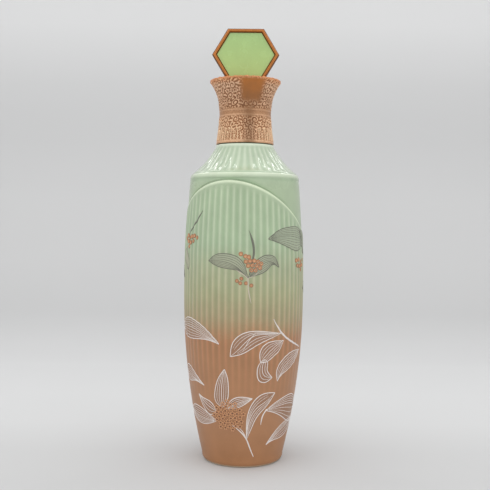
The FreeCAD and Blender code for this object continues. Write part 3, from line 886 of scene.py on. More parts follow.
def right_motif(enamel):
    """A broad leaf with long veins, its folded half, and berries under it."""
    enamel.leaf((76, 156), (23, 157), [(60, 158), (42, 159)], [(66, 164), (49, 165), (35, 163)],
                [(64, 149), (49, 150.5), (36, 154)], veins=4, tone=0.15, film=0.15,
                fine=(0.0, 0.1))
    enamel.leaf((66, 163), (84, 144), [(74, 156)], [(70, 155), (76, 149)], [(76, 162), (84, 153)],
                veins=2, tone=0.1, film=0.7, fine=(0.1, 0.3))
    enamel.blooms([(59, 142), (64, 142.5), (69, 141), (61, 138.5), (66, 138), (72, 138.5),
                   (75, 142), (69, 135.5)])


# Each motif is drawn at its places: (turn in degrees, rise in millimetres).

MOTIFS = (
    (lower_spray, ((0, 1.2), (180, -1.8))),
    (middle_motif, ((0, 1.2), (112, -19), (180, -30), (247, -8))),
    (left_motif, ((0, 1.2),)),
    (right_motif, ((0, 1.2),)),
)


def film_material(name, glaze, haze, tip):
    """A thin film: the coat's colour clouded by a haze, and denser and paler towards the tips."""
    made = Recipe(name, Specular_IOR_Level=0.5)
    coat = coat_colour(made, glaze)[0]
    density = made.attribute("density")
    thickness = made.math("ADD", density, made.sway(900.0, 4.0, 0.4))
    cover = made.math("MULTIPLY_ADD", thickness, 0.55, 0.42)
    shade = made.mix(cover, coat, made.ramp(density, [(0.7, haze), (0.97, tip)]))
    return made.finished(shade, made.varied(300.0, 3.0, 0.38, 0.52), made.noise(2200.0, 3.0),
                         0.3, 0.00006)


def line_material(name, faint, bold):
    """Fired enamel line: faint veins to bold outlines, with thin and thick places."""
    made = Recipe(name, Specular_IOR_Level=0.55)
    tone = made.math("ADD", made.attribute("tone"), made.sway(420.0, 4.0, 0.5))
    return made.finished(made.ramp(tone, [(0.15, faint), (0.85, bold)]),
                         made.varied(700.0, 3.0, 0.30, 0.45), made.noise(3000.0, 2.0),
                         0.25, 0.00005)


def bead_material(enamel):
    """Copper-brown beads with painted shade and highlight: rosettes dark in their dimples and between
    their lobes and amber on their crests, every bead darker towards its foot; the berries' lighter
    eyes are their own colour.
    """
    made = Recipe("enamel_copper", Specular_IOR_Level=0.6, Metallic=0.25)
    tone = made.math("ADD", made.attribute("tone"), made.sway(1100.0, 3.0, 0.36))
    shade = made.ramp(tone, [(0.05, tinted(enamel.copper, 0.42)), (0.5, tuple(enamel.copper)),
                             (0.95, tuple(enamel.amber_eyes_and_highlight))])
    return made.finished(shade, made.varied(800.0, 3.0, 0.32, 0.48), made.noise(3000.0, 2.0),
                         0.3, 0.00006)


class SAKE_OT_enamel(bpy.types.Operator):
    """Lay the leaves, berries and flower heads on the skirt"""

    bl_idname = "sake.enamel"
    bl_label = "Enamel Decoration"

    def execute(self, context):
        settings = context.scene.sake_bottle
        sizes, glaze = settings.enamel, settings.glaze
        finishes = {
            "lower": (line_material("enamel_white_line", (0.42, 0.31, 0.25), tuple(sizes.white)),
                      film_material("enamel_lilac_film", glaze, (0.265, 0.175, 0.135),
                                    (0.86, 0.80, 0.78))),
            "upper": (line_material("enamel_grey_line", tuple(sizes.grey), (0.64, 0.57, 0.46)),
                      film_material("enamel_grey_film", glaze, (0.415, 0.405, 0.335),
                                    (0.33, 0.33, 0.325))),
        }
        beads = []
        for zone, (line_finish, film_finish) in finishes.items():
            enamel = Enamel(sizes, settings.body)
            for motif, places in MOTIFS:
                if (motif is lower_spray) == (zone == "lower"):
                    for enamel.turn, enamel.rise in places:
                        motif(enamel)
            for kind, parts, finish, value in (("lines", enamel.lines, line_finish, "tone"),
                                               ("films", enamel.films, film_finish, "density")):
                points, faces, values = joined(parts)
                piece(f"enamel_{zone}_{kind}", points, faces, BOTTLE, "porcelain", finish,
                      attributes={value: values})
            beads += enamel.beads
        points, faces, values = joined(beads)
        piece("enamel_beads", points, faces, BOTTLE, "porcelain", bead_material(sizes),
              attributes={"tone": values})
        return {"FINISHED"}


# ---- collar ----------------------------------------------------------------------------------

COLLAR_WALL = 0.0011
WAIST = (0.0184, 0.2475)
RIM_START = (0.0246, 0.2676)
RIM_END = (0.0250, COLLAR_HIGH.z)
LOWER_PANEL = (0.2262, 0.2434)
UPPER_PANEL = (0.2482, 0.2686)
BURNISHED = (0.2512, 0.2672)
SCROLL_PITCH = 1.55
ROW = 5.7
THIRD = FULL_TURN / 3
PIT_PLACE = (0.0186, 0.2497)
PIT_SPREAD = (0.0007, 0.0009)
COLLAR_ROWS = 118
INSIDE_ROWS = 9


def collar_radius(height):
    """Outer radius: arcs of 122 and 34 mm pressed in to the waist, then a rolled rim of 1.4 mm."""
    outline = np.concatenate([
        arc((0.0206, COLLAR_LOW.z), WAIST, -0.122, 40), arc(WAIST, RIM_START, -0.034, 40),
        arc(RIM_START, RIM_END, 0.0014, 12), [RIM_END]])
    return np.interp(height, outline[:, 1], outline[:, 0])


def scrollwork(repeats, bearing, height):
    """Embossing from 0 to 1: staggered scrolls with leaflets fanned out between them.

    At distance d and angle a from the nearest eye a scroll is (1 + cos(2 pi d / pitch - a)) / 2, and
    past its reach the leaflets are (1 + cos(9 a + d)) / 2. Every other scroll is turned over.
    """
    across = repeats * bearing / FULL_TURN + 0.10 * np.sin(6 * bearing + 420 * height)
    up = (height - LOWER_PANEL[0]) / (ROW * MM) + 0.10 * np.sin(11 * bearing + 2)
    cell = FULL_TURN * collar_radius(height) / repeats / MM
    best = np.full(np.broadcast(across, up).shape, 1e3)
    angle = np.zeros_like(best)
    for side, level in ((0.0, 0.5), (0.5, 1.5)):
        column = np.round(across - side)
        row = 2 * np.round((up - level) / 2)
        right = (across - side - column) * cell
        rise = (up - level - row) * ROW
        hand = np.where((column + row / 2) % 2 < 1, 1.0, -1.0)
        distance = np.hypot(right, rise)
        nearer = distance < best
        angle = np.where(nearer, np.arctan2(rise, hand * right) + side * 4, angle)
        best = np.minimum(best, distance)
    scroll = 0.5 + 0.5 * np.cos(FULL_TURN * best / SCROLL_PITCH - angle)
    leaflets = 0.5 + 0.5 * np.cos(9 * angle + best)
    beyond = smooth_step(best, 2.2, 3.0)
    eye = 1 - smooth_step(best, 0.3, 0.9)
    return np.maximum(scroll * (1 - beyond) + leaflets * beyond, eye)


def tall_leaves(repeats, bearing, height):
    """Upright leaves side by side: |x| < half width, with slanting veins cos(2 pi (y - 1.2 |x|))."""
    place = repeats * bearing / FULL_TURN
    across = np.abs(place - np.round(place)) * 2
    rise = (height - LOWER_PANEL[0]) / MM
    width = 0.95 * np.sqrt(np.clip(1 - (rise / 9.0) ** 2, 0, 1))
    cell = FULL_TURN * collar_radius(height) / repeats / MM / 2
    veins = 0.5 + 0.5 * np.cos(FULL_TURN * (rise - 1.2 * across * cell) / 1.9)
    edge = 1 - smooth_step(np.abs(across - width) * cell, 0.25, 0.7)
    rib = 1 - smooth_step(across * cell, 0.2, 0.5)
    inside = 1 - smooth_step(across, width - 0.05, width + 0.05)
    return np.maximum(np.maximum(edge, rib), 0.75 * veins) * inside, inside


def third_offset(bearing, degrees):
    """Angle from the nearest of three places round the collar, the first at a bearing in degrees."""
    return (bearing - math.radians(degrees) + THIRD / 2) % THIRD - THIRD / 2


def burnish_and_painted_reflection(bearing, height):
    """1 on the three smooth cartouches of the bell, one a little right of the front, 0 elsewhere.

    Under each a half-strength streak runs on down to the collar's foot: a painted dark reflection,
    which also softens the relief a little.
    """
    off = third_offset(bearing, 13.5)
    side = 1 - smooth_step(np.abs(off), math.radians(14), math.radians(29))
    bell = side * smooth_step(height, BURNISHED[0] - 0.0022, BURNISHED[0] + 0.0050) * (
        1 - smooth_step(height, BURNISHED[1], BURNISHED[1] + 0.0016))
    streak = 1 - smooth_step(np.abs(off + math.radians(4)), math.radians(2), math.radians(20))
    return np.maximum(bell, 0.5 * streak * (1 - smooth_step(height, BURNISHED[0], 0.2570)))


def collar_relief(sizes, bearing, height):
    """Height of the embossing, -1 to 1.2 and -1.6 in a pit, and how far it is burnished."""
    scrolls = scrollwork(sizes.repeats, bearing, height)
    leaves, inside = tall_leaves(24, bearing, height)
    pattern = scrolls * (1 - inside) + leaves
    soft = 0.0008
    edges = sum(smooth_step(height, low, low + soft) * (1 - smooth_step(height, high - soft, high))
                for low, high in (LOWER_PANEL, UPPER_PANEL))
    bands = sum(np.exp(-((height - level) / 0.00042) ** 2)
                for level in (LOWER_PANEL[0] - 0.0004, LOWER_PANEL[1] + 0.0006,
                              UPPER_PANEL[0] - 0.0008))
    knurl = 0.5 + 0.5 * np.cos(90 * bearing + 4000 * height)
    rim = smooth_step(height, UPPER_PANEL[1], UPPER_PANEL[1] + 0.0006)
    smooth = burnish_and_painted_reflection(bearing, height)
    relief = edges * (2 * pattern - 1) + bands * 0.6 + 0.25 * rim * (2 * knurl - 1)
    flattened = smooth**3
    eased = relief * (1 - flattened) - 0.25 * flattened
    across = third_offset(bearing, -5) * PIT_PLACE[0] / PIT_SPREAD[0]
    pit = np.exp(-(across**2) - ((height - PIT_PLACE[1]) / PIT_SPREAD[1]) ** 2)
    return np.clip(eased, -1, 1.2) * (1 - pit) - 1.6 * pit, smooth


def copper_material(sizes):
    """Antique copper: dark patina in the recesses, rubbed crests, and burnished cartouches. Painted
    reflection and shade by height lighten the foot and the rim and darken the waist; the cartouches
    run from a dark painted reflection at their foot, and in the streak below them, to bright copper at
    their top.
    """
    made = Recipe("embossed_copper", Metallic=0.9, Specular_IOR_Level=0.5)
    crest = made.math("ADD", made.attribute("crest"), made.sway(1300.0, 6.0, 1.0))
    shade = made.ramp(crest, [(0.12, tuple(sizes.recess)), (0.45, tuple(sizes.middle)),
                              (0.80, tuple(sizes.crest)), (0.97, tinted(sizes.crest, 1.25))])
    upward = made.math("DIVIDE", made.math("SUBTRACT", made.axes()["Z"], COLLAR_LOW.z),
                       COLLAR_HIGH.z - COLLAR_LOW.z)
    # The cartouches' colour is painted reflection: dark copper at their foot and down the streak,
    # bright copper at their top.
    burnished_reflection = made.ramp(made.math("ADD", upward, made.sway(160.0, 4.0, 0.3)), [
        (0.30, tinted(sizes.burnished_reflection, 0.55)), (0.60, tuple(sizes.burnished_reflection)),
        (0.95, tinted(sizes.bright, 0.95))])
    # Painted reflection and shade by height: lighter towards the foot, darker at the waist, lighter
    # again up to the rim, whose brightness is also rubbing.
    rub_sheen_and_shade = made.ramp(upward, [(0.05, (1.32, 1.30, 1.24)), (0.36, (1.25, 1.20, 1.12)),
                              (0.50, (0.97, 0.88, 0.78)), (0.64, (1.04, 1.01, 0.98)),
                              (0.9, (1.16, 1.16, 1.16)), (0.99, (1.5, 1.12, 0.84))])
    shade = made.mix(1.0, shade, rub_sheen_and_shade, "MULTIPLY")
    smooth = made.attribute("burnish_and_painted_reflection")
    rough = made.ramp(crest, [(0.1, 0.62), (0.6, 0.44), (0.95, 0.30)])
    return made.finished(made.mix(smooth, shade, burnished_reflection),
                         made.mix(smooth, rough, made.varied(240.0, 4.0, 0.30, 0.42)),
                         made.noise(1700.0, 4.0), 0.45, 0.00012)


class SAKE_OT_collar(bpy.types.Operator):
    """Build the embossed copper collar"""

    bl_idname = "sake.collar"
    bl_label = "Embossed Collar"

    def execute(self, context):
        sizes = context.scene.sake_bottle.collar
        columns = 640
        bearing = around(columns)[None, :]
        height = np.linspace(COLLAR_LOW.z, COLLAR_HIGH.z, COLLAR_ROWS)[:, None]
        relief, smooth = collar_relief(sizes, bearing, height)
        outer = collar_radius(height) + sizes.relief * (relief - 0.35)
        top = height[-1]
        wave = 0.00013 * (np.sin(23 * bearing + 1) + np.sin(37 * bearing)) - 0.00026
        lip_radius = np.broadcast_to(collar_radius(top) - [[0.0003], [0.0009]], (2, columns))
        lip_height = top + wave + [[0.00012], [0.0]]
        inside = np.linspace(COLLAR_HIGH.z - 0.0008, COLLAR_LOW.z, INSIDE_ROWS)[:, None]
        inner = np.broadcast_to(collar_radius(inside) - COLLAR_WALL, (INSIDE_ROWS, columns))
        radius = np.concatenate([outer, lip_radius, inner])
        rise = np.concatenate([np.broadcast_to(height, outer.shape), lip_height,
                               np.broadcast_to(inside, inner.shape)])
        rise[COLLAR_ROWS - 1] += wave[0]
        unseen = (len(radius) - COLLAR_ROWS, columns)
        crest = np.concatenate([0.5 + 0.5 * relief, np.full(unseen, 0.75)])
        burnished_reflection = np.concatenate([smooth, np.zeros(unseen)])
        piece("collar_embossed", *hollow(turned(radius, bearing, rise)), BOTTLE, "embossed_copper",
              copper_material(sizes), replaces=["neck_collar"],
              attributes={"crest": crest, "burnish_and_painted_reflection": burnished_reflection},
              sharp=math.radians(60))
        return {"FINISHED"}


# ---- stopper ---------------------------------------------------------------------------------

HALF_TOP_EDGE = 0.01275
TILE_INSET = 0.0021
TILE_FADE = 0.0374
CORK_BORE = 0.00586


def hexagon(inset):
    """Corners of the medallion's outline moved in by an inset, as (x, z), from the right point up.

    A corner moves in along the mean of its two edges' inward normals, n1 + n2, over 1 + n1 . n2.
    """
    middle = (BEZEL_LOW.z + BEZEL_HIGH.z) / 2
    point, rise, edge = BEZEL_HIGH.x, (BEZEL_HIGH.z - BEZEL_LOW.z) / 2, HALF_TOP_EDGE
    corners = np.array([(point, 0), (edge, rise), (-edge, rise), (-point, 0), (-edge, -rise),
                        (edge, -rise)])
    run = np.roll(corners, -1, axis=0) - corners
    run /= np.hypot(run[:, 0], run[:, 1])[:, None]
    inward = np.stack([-run[:, 1], run[:, 0]], axis=-1)
    before = np.roll(inward, 1, axis=0)
    shift = (inward + before) / (1 + (inward * before).sum(axis=1))[:, None]
    return corners + shift * inset + (0, middle)


def bezel_grid(sizes, side):
    """A frame bar's section, (inset, depth) in mm, carried round the hexagon with mitred corners.

    Its painted shade is 1 on the flats beside the bead and |cos a| cubed over the bead's crown,
    darkening the bead's flanks.
    """
    bead = sizes.bead / MM / 2
    middle = 0.42 + bead
    turn = np.radians(np.arange(180, -1, -15))
    crown = np.stack([middle + bead * np.cos(turn), 2.95 + 1.22 * np.sin(turn)], axis=-1)
    section = np.concatenate([[(0, 0.02), (0, 2.5), (0.1, 2.72), (0.3, 2.78), (0.36, 2.7)], crown,
                              [(2.62, 2.86), (2.9, 2.92), (3.0, 3.04), (3.0, 3.02), (1.92, 3.02),
                               (1.92, 0.02)]]) * MM
    inset, depth = section[:, 0], section[:, 1]
    corners = np.stack([hexagon(step) for step in inset])
    grid = np.stack([corners[..., 0], np.broadcast_to(side * depth[:, None], corners.shape[:2]),
                     corners[..., 1]], axis=-1)
    bead_shade = np.ones(len(section))
    bead_shade[5:5 + len(turn)] = np.abs(np.cos(turn)) ** 3
    bead_shade = np.broadcast_to(bead_shade[:, None], corners.shape[:2])
    return (grid, bead_shade) if side < 0 else (grid[::-1], bead_shade[::-1])


def panel_grid(sizes, side):
    """A hexagonal tile: flat and barely domed, with a soft bevel, closed at the back."""
    corners = hexagon(TILE_INSET)
    steps = 12
    share = np.arange(steps)[None, :, None] / steps
    outline = (corners[:, None] * (1 - share) + np.roll(corners, -1, axis=0)[:, None] * share)
    outline = outline.reshape(-1, 2)
    middle = outline.mean(axis=0)
    near, far = (0.0016, 0.0030)
    section = np.array([(0.1, far + sizes.panel_crown), (0.3, far + 0.9 * sizes.panel_crown),
                        (0.6, far + 0.6 * sizes.panel_crown), (0.8, far + 0.25 * sizes.panel_crown),
                        (0.88, far), (0.92, far - 0.00012), (0.99, far - 0.0002),
                        (1.0, far - 0.0003), (1.0, near), (0.5, near), (0.1, near)])
    flat = middle + (outline - middle)[None] * section[:, :1, None]
    depth = np.broadcast_to(side * section[:, 1:], flat.shape[:2])
    grid = np.stack([flat[..., 0], depth, flat[..., 1]], axis=-1)
    return grid[::-1] if side < 0 else grid


def bezel_material(sizes):
    """Polished rose copper, a little orange, with fine wear, and painted shade in dark lines beside
    the bead and down its flanks.
    """
    made = Recipe("rose_copper", Metallic=1.0)
    shade = made.varied(420.0, 5.0, tinted(sizes.bezel, 0.86), tinted(sizes.bezel, 1.08))
    # Painted shade beside the bead and on its flanks.
    shade = made.mix(made.attribute("bead_shade"), shade, tinted(sizes.bezel, 0.30))
    return made.finished(shade, made.varied(260.0, 4.0, 0.17, 0.27), made.noise(1500.0, 3.0),
                         0.15, 0.00004)


def panel_material(sizes):
    """Glossy green tile, warmer towards its foot, with a faint cloud in it."""
    made = Recipe("green_tile", Coat_Weight=0.6, Coat_Roughness=0.05, Specular_IOR_Level=0.45)
    share = made.math("DIVIDE", made.math("SUBTRACT", made.axes()["Z"], BEZEL_LOW.z), TILE_FADE)
    shade = made.ramp(share, [(0.05, tuple(sizes.panel_foot)), (0.95, tuple(sizes.panel))])
    shade = made.mix(1.0, shade, made.varied(90.0, 4.0, 0.965, 1.03), "MULTIPLY")
    return made.finished(shade, made.varied(180.0, 3.0, 0.20, 0.30), made.noise(130.0, 2.0),
                         0.2, 0.00008)


class SAKE_OT_medallion(bpy.types.Operator):
    """Build the medallion's two beaded bezels and its two green tiles"""

    bl_idname = "sake.medallion"
    bl_label = "Hexagonal Medallion"

    def execute(self, context):
        sizes = context.scene.sake_bottle.stopper
        metal, tile = bezel_material(sizes), panel_material(sizes)
        for name, side in (("front", -1), ("rear", 1)):
            grid, bead_shade = bezel_grid(sizes, side)
            piece(f"medallion_bezel_{name}", *hollow(grid), STOPPER, "bezel_copper", metal,
                  replaces=[f"bezel_{name}"], attributes={"bead_shade": bead_shade},
                  sharp=math.radians(32))
            piece(f"medallion_tile_{name}", *capped(panel_grid(sizes, side)), STOPPER,
                  "panel_green", tile, replaces=[f"panel_{name}"], sharp=math.radians(35))
        return {"FINISHED"}


def seat_grid():
    """The medallion's seat: |x/a|^6 + |y/b|^6 = 1 swept up, with a rounded top edge."""
    turn = around(72)
    along, across = np.cos(turn), np.sin(turn)
    reach = (np.abs(along) ** 6 + np.abs(across) ** 6) ** (-1 / 6)
    section = np.array([(0.5, 0.2648), (1.0, 0.2648), (1.0, 0.2687), (0.985, 0.2692),
                        (0.95, 0.26953), (0.9, 0.2696), (0.4, 0.2696)])
    half_length, half_width = 0.0139, 0.0046
    point = half_length * along * reach * section[:, :1]
    side = half_width * across * reach * section[:, :1]
    return np.stack([point, side, np.broadcast_to(section[:, 1:], point.shape)], axis=-1)


def cap_grid(columns):
    """The cap: a shallow dish between a raised rim and a ring, turned, with a fine knurl outside."""
    profile = np.array([
        (3.0, 264.4), (14.0, 264.4), (21.1, 264.4), (21.42, 264.7), (21.9, 265.7), (22.4, 266.6),
        (22.9, 267.5), (23.15, 268.0), (22.95, 268.18), (22.2, 268.2), (21.6, 268.15),
        (21.35, 267.9), (20.8, 267.86), (20.5, 268.1), (19.8, 268.2), (19.2, 268.1),
        (18.8, 267.75), (17.0, 267.55), (12.0, 267.45), (6.0, 267.45), (1.5, 267.45)]) * MM
    bearing = around(columns)[None, :]
    knurl = smooth_step(profile[:, 1:], 0.2649, 0.2655) * (
        1 - smooth_step(profile[:, 1:], 0.2672, 0.2678)) * (profile[:, :1] > 0.0215)
    radius = profile[:, :1] - 0.00018 * knurl * (0.5 + 0.5 * np.cos(96 * bearing))
    return turned(radius, bearing, np.broadcast_to(profile[:, 1:], radius.shape))


def speckle(rows, columns, seed):
    """Seeded random values blurred over their neighbours, between 0 and 1, wrapping round."""
    field = np.random.default_rng(seed).random((rows, columns))
    for _ in range(2):
        field = (field + np.roll(field, 1, 0) + np.roll(field, 1, 1) + np.roll(field, -1, 0)
                 + np.roll(field, -1, 1)) / 5
    return (field - field.min()) / (field.max() - field.min())


def cork_grid(columns):
    """The cork sleeve: a bevelled tube whose outside has small sunken pores."""
    low, high = CORK_LOW.z, CORK_HIGH.z
    outside = CORK_HIGH.x
    lower_bevel, upper_bevel = 0.0012, 0.0004
    climb = np.linspace(low + lower_bevel, high - upper_bevel, 44)
    radius = np.concatenate([[CORK_BORE, outside - lower_bevel], np.full(len(climb), outside),
                             [outside - upper_bevel, CORK_BORE]])
    height = np.concatenate([[low, low], climb, [high, high]])
    pore = smooth_step(speckle(len(radius), columns, 5), 0.60, 0.78)
    pore[[0, 1, -1]] = 0
    depth = 0.00045 * pore
    return turned(radius[:, None] - depth, around(columns)[None, :],
                  np.broadcast_to(height[:, None], depth.shape)), pore


def cap_material(sizes):
    """Satin copper with turning marks in fine rings."""
    made = Recipe("cap_copper", Metallic=0.95)
    shade = made.varied(300.0, 4.0, tinted(sizes.bezel, 0.62), tinted(sizes.bezel, 0.85))
    return made.finished(shade, made.varied(400.0, 3.0, 0.28, 0.40), made.lathe_rings(22000.0),
                         0.25, 0.00002)


def cork_material():
    """Pale cork with darker grains and dark pores."""
    made = Recipe("natural_cork", Specular_IOR_Level=0.25)
    grain = made.ramp(made.noise(900.0, 6.0, 0.7), [(0.3, (0.38, 0.22, 0.11)),
                                                    (0.5, (0.58, 0.38, 0.20)),
                                                    (0.72, (0.68, 0.49, 0.29))])
    flattened = made.node("ShaderNodeMapping", {"Vector": made.place, "Scale": (1.0, 1.0, 3.0)})
    streak = made.ramp(made.noise(260.0, 3.0, vector=flattened.outputs[0]),
                       [(0.35, 0.78), (0.65, 1.05)])
    shade = made.mix(1.0, grain, streak, "MULTIPLY")
    return made.finished(made.mix(made.attribute("pore"), shade, (0.16, 0.08, 0.04)),
                         made.varied(500.0, 3.0, 0.78, 0.92), made.noise(1800.0, 5.0),
                         0.6, 0.00020)


class SAKE_OT_stopper(bpy.types.Operator):
    """Build the stopper's cap, the medallion's seat and the cork"""

    bl_idname = "sake.stopper"
    bl_label = "Cap and Cork"

    def execute(self, context):
        sizes = context.scene.sake_bottle.stopper
        metal = cap_material(sizes)
        piece("cap_disc", *capped(cap_grid(288)), STOPPER, "cap_copper", metal,
              replaces=["stopper_cap"], sharp=math.radians(50))
        piece("cap_seat", *capped(seat_grid()), STOPPER, "cap_copper", metal,
              sharp=math.radians(50))
        grid, pore = cork_grid(220)
        piece("plug_cork_sleeve", *hollow(grid), STOPPER, "cork", cork_material(),
              replaces=["plug_cork"], attributes={"pore": pore}, sharp=math.radians(60))
        return {"FINISHED"}


# ---- hidden fittings -------------------------------------------------------------------------


def moulded(name, shade, rough, grain):
    """Moulded rubber or plastic: faint flow clouds, a fine grain and uneven gloss."""
    made = Recipe(name)
    cloud = made.varied(140.0, 4.0, tinted(shade, 0.86), tinted(shade, 1.1))
    return made.finished(cloud, made.varied(700.0, 3.0, rough - 0.08, rough + 0.08),
                         made.noise(grain, 3.0), 0.3, 0.00005)


def turned_steel():
    """Bright steel with fine rings from the lathe."""
    made = Recipe("turned_steel", Metallic=1.0)
    return made.finished(made.varied(350.0, 4.0, (0.50, 0.50, 0.49), (0.64, 0.64, 0.63)),
                         made.varied(600.0, 3.0, 0.24, 0.38), made.lathe_rings(30000.0),
                         0.2, 0.00002)


class SAKE_OT_fittings(bpy.types.Operator):
    """Finish the gaskets, liner, plug core, washer, screw, core plate and pins"""

    bl_idname = "sake.fittings"
    bl_label = "Gaskets and Fittings"

    def execute(self, context):
        steel = turned_steel()
        finishes = {
            # The gasket's near-black green also stands for the painted shade under the collar's
            # overhang.
            "collar_gasket": moulded("gasket_rubber", (0.045, 0.075, 0.04), 0.55, 1800.0),
            "lip_gasket": moulded("lip_rubber", (0.55, 0.53, 0.48), 0.55, 1800.0),
            "collar_liner": moulded("liner_plastic", (0.42, 0.40, 0.35), 0.42, 900.0),
            "plug_core": moulded("plug_plastic", (0.66, 0.63, 0.55), 0.38, 900.0),
            "medallion_core": moulded("core_plastic", (0.10, 0.12, 0.09), 0.45, 900.0),
            "plug_washer": steel,
            "plug_screw": steel,
            "medallion_pins": steel,
        }
        for name, finish in finishes.items():
            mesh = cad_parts[name].data
            mesh.materials.clear()
            mesh.materials.append(finish)
        return {"FINISHED"}


# ---- stage -----------------------------------------------------------------------------------


def backdrop_grid():
    """A sheet that lies flat, turns up behind on a quarter round, and stands to its top."""
    front, back, bend, top, half_width = -1.3, 0.36, 0.34, 2.2, 1.6
    flat = line((front, 0.0), (back, 0.0), 12)
    turn = np.linspace(0, math.pi / 2, 20)
    curve = np.stack([back + bend * np.sin(turn), bend * (1 - np.cos(turn))], axis=1)
    wall = line((back + bend, bend), (back + bend, top), 8)[1:]
    depth, height = np.concatenate([flat, curve, wall]).T
    across = np.linspace(-half_width, half_width, 9)
    return np.stack(np.broadcast_arrays(across[None, :], depth[:, None], height[:, None]), axis=-1)


def add_light(name, place, target, size, power):
    """A rectangular soft light aimed at a point."""
    lamp = bpy.data.lights.new(name, "AREA")
    lamp.shape = "RECTANGLE"
    lamp.size, lamp.size_y = size
    lamp.energy = power
    made = bpy.data.objects.new(name, lamp)
    bpy.context.scene.collection.objects.link(made)
    away = np.asarray(place, float) - np.asarray(target, float)
    bearing = math.atan2(away[0], -away[1])
    tilt = math.atan2(math.hypot(away[0], away[1]), away[2])
    made.matrix_world = (Matrix.Translation(place) @ Matrix.Rotation(bearing, 4, "Z")
                         @ Matrix.Rotation(tilt, 4, "X"))
    return made


def soft_world(scene):
    """An even pale surround, dark straight in front, as in a room behind the viewer."""
    world = bpy.data.worlds.new("studio_surround")
    world.use_nodes = True
    tree = world.node_tree
    place = tree.nodes.new("ShaderNodeTexCoord")
    split = tree.nodes.new("ShaderNodeSeparateXYZ")
    ramp = tree.nodes.new("ShaderNodeValToRGB")
    depth = tree.nodes.new("ShaderNodeMath")
    depth.operation = "MULTIPLY_ADD"
    depth.inputs[1].default_value = 0.5
    depth.inputs[2].default_value = 0.5
    ramp.color_ramp.elements[0].color = (0.60, 0.60, 0.60, 1)
    ramp.color_ramp.elements[1].color = (0.88, 0.89, 0.89, 1)
    for position, value in ((0.03, 0.66), (0.09, 1.0)):
        ramp.color_ramp.elements.new(position).color = (value, value, value, 1)
    tree.links.new(place.outputs["Generated"], split.inputs["Vector"])
    tree.links.new(split.outputs["Y"], depth.inputs[0])
    tree.links.new(depth.outputs[0], ramp.inputs["Fac"])
    surround = tree.nodes["Background"]
    tree.links.new(ramp.outputs["Color"], surround.inputs["Color"])
    surround.inputs["Strength"].default_value = 0.83
    scene.world = world


def stage_material(shade):
    """Matt paper, barely mottled, with painted shade: darker at the front of the floor and where it
    turns up and stands than where it lies, and lighter high on the wall.
    """
    made = Recipe("stage_paper", Roughness=0.9, Specular_IOR_Level=0.2)
    axes = made.axes()
    # Painted shade by height and by depth: a darker band where the floor turns up into the wall, a
    # darker front floor, and a lighter upper wall.
    height_shade = made.ramp(axes["Z"], [(0.0, 1.0), (0.046, 0.98), (0.108, 1.036), (0.20, 1.083),
                                  (0.293, 1.09), (0.385, 1.155), (0.478, 1.30)])
    depth = made.math("MULTIPLY_ADD", axes["Y"], 0.7, 0.42)
    near = made.ramp(depth, [(0.28, 0.86), (0.395, 0.94), (0.427, 0.95), (0.485, 1.03),
                             (0.563, 1.047), (0.67, 1.02), (0.735, 0.94), (0.784, 0.86),
                             (0.91, 0.84)])
    tone = made.varied(3.0, 2.0, tinted(shade, 0.99), tuple(shade))
    tone = made.mix(1.0, made.mix(1.0, tone, height_shade, "MULTIPLY"), near, "MULTIPLY")
    made.surface(Base_Color=tone)
    return made.material


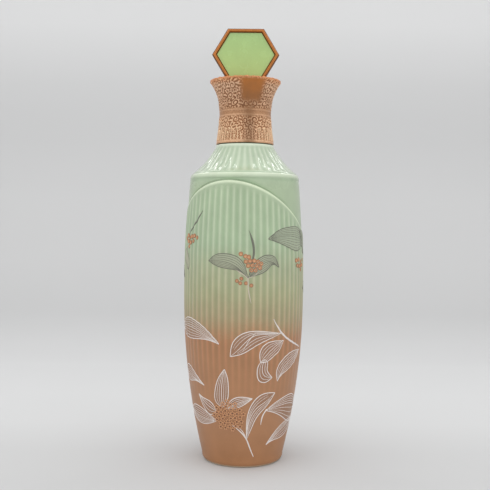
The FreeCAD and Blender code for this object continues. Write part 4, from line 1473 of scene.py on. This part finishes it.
class SAKE_OT_stage(bpy.types.Operator):
    """Set up the floor, the soft lights and the camera"""

    bl_idname = "sake.stage"
    bl_label = "Stage"

    def execute(self, context):
        scene = context.scene
        stage = scene.sake_bottle.stage
        grid = backdrop_grid()
        mesh = bpy.data.meshes.new("backdrop")
        mesh.from_pydata(grid.reshape(-1, 3), [], grid_faces(*grid.shape[:2]).tolist())
        mesh.polygons.foreach_set("use_smooth", np.ones(len(mesh.polygons), bool))
        mesh.materials.append(stage_material(stage.floor))
        backdrop = bpy.data.objects.new("backdrop", mesh)
        scene.collection.objects.link(backdrop)
        for name, side in (("left", -1), ("right", 1)):
            strip = (side * 0.415, 0.16, 1.15)
            add_light(f"overhead_{name}", strip, (strip[0], strip[1], 0), (0.50, 0.030), 0.32)
            add_light(f"rear_{name}", (side * 0.42, 0.46, 0.80), (0, 0, 0.2), (0.04, 0.40), 0.25)
        for name, place, target, size, power in (
                ("overhead_soft", (0, -0.35, 1.7), (0, -0.35, 0), (1.8, 1.1), 7.6),
                ("front_soft", (0, -1.7, 0.45), (0, 0, 0.10), (1.2, 0.8), 4.8)):
            add_light(name, place, target, size, power).visible_glossy = False
        soft_world(scene)
        lens = bpy.data.cameras.new("camera")
        lens.lens = stage.lens
        lens.sensor_width = 36
        lens.clip_start = 0.01
        camera = bpy.data.objects.new("camera", lens)
        scene.collection.objects.link(camera)
        camera.matrix_world = (Matrix.Translation((stage.camera_side, -stage.distance,
                                                    stage.camera_height))
                               @ Matrix.Rotation(math.pi / 2 - stage.pitch, 4, "X")
                               @ Matrix.Rotation(stage.roll, 4, "Z"))
        scene.camera = camera
        scene.view_settings.view_transform = "Standard"
        return {"FINISHED"}


# ---- add-on ----------------------------------------------------------------------------------

OPERATORS = (SAKE_OT_stage, SAKE_OT_porcelain, SAKE_OT_enamel, SAKE_OT_collar, SAKE_OT_medallion,
             SAKE_OT_stopper, SAKE_OT_fittings)
SETTINGS = (BottleSizes, GlazeColours, EnamelSizes, CollarSizes, StopperSizes, StageSizes,
            BottleSettings)


class SAKE_PT_bottle(bpy.types.Panel):
    """Lists the bottle's operators and settings"""

    bl_idname = "SAKE_PT_bottle"
    bl_label = "Sake Bottle"
    bl_space_type = "VIEW_3D"
    bl_region_type = "UI"
    bl_category = "Sake Bottle"

    def draw(self, context):
        for operator in OPERATORS:
            self.layout.operator(operator.bl_idname)
        settings = context.scene.sake_bottle
        for name in ("body", "glaze", "enamel", "collar", "stopper", "stage"):
            group = getattr(settings, name)
            box = self.layout.box()
            box.label(text=name.capitalize())
            for key in group.bl_rna.properties.keys():
                if key not in ("rna_type", "name"):
                    box.prop(group, key)


def register():
    """Register every class and the settings on the scene."""
    for item in SETTINGS + OPERATORS + (SAKE_PT_bottle,):
        bpy.utils.register_class(item)
    bpy.types.Scene.sake_bottle = bpy.props.PointerProperty(
        type=BottleSettings, name="Sake Bottle", description="The bottle's settings")


def unregister():
    """Take the settings and the classes away again."""
    del bpy.types.Scene.sake_bottle
    for item in reversed(SETTINGS + OPERATORS + (SAKE_PT_bottle,)):
        bpy.utils.unregister_class(item)


def main():
    """Build everything in order."""
    register()
    bpy.ops.sake.stage()
    bpy.ops.sake.porcelain()
    bpy.ops.sake.enamel()
    bpy.ops.sake.collar()
    bpy.ops.sake.medallion()
    bpy.ops.sake.stopper()
    bpy.ops.sake.fittings()


if __name__ == "__main__":
    main()
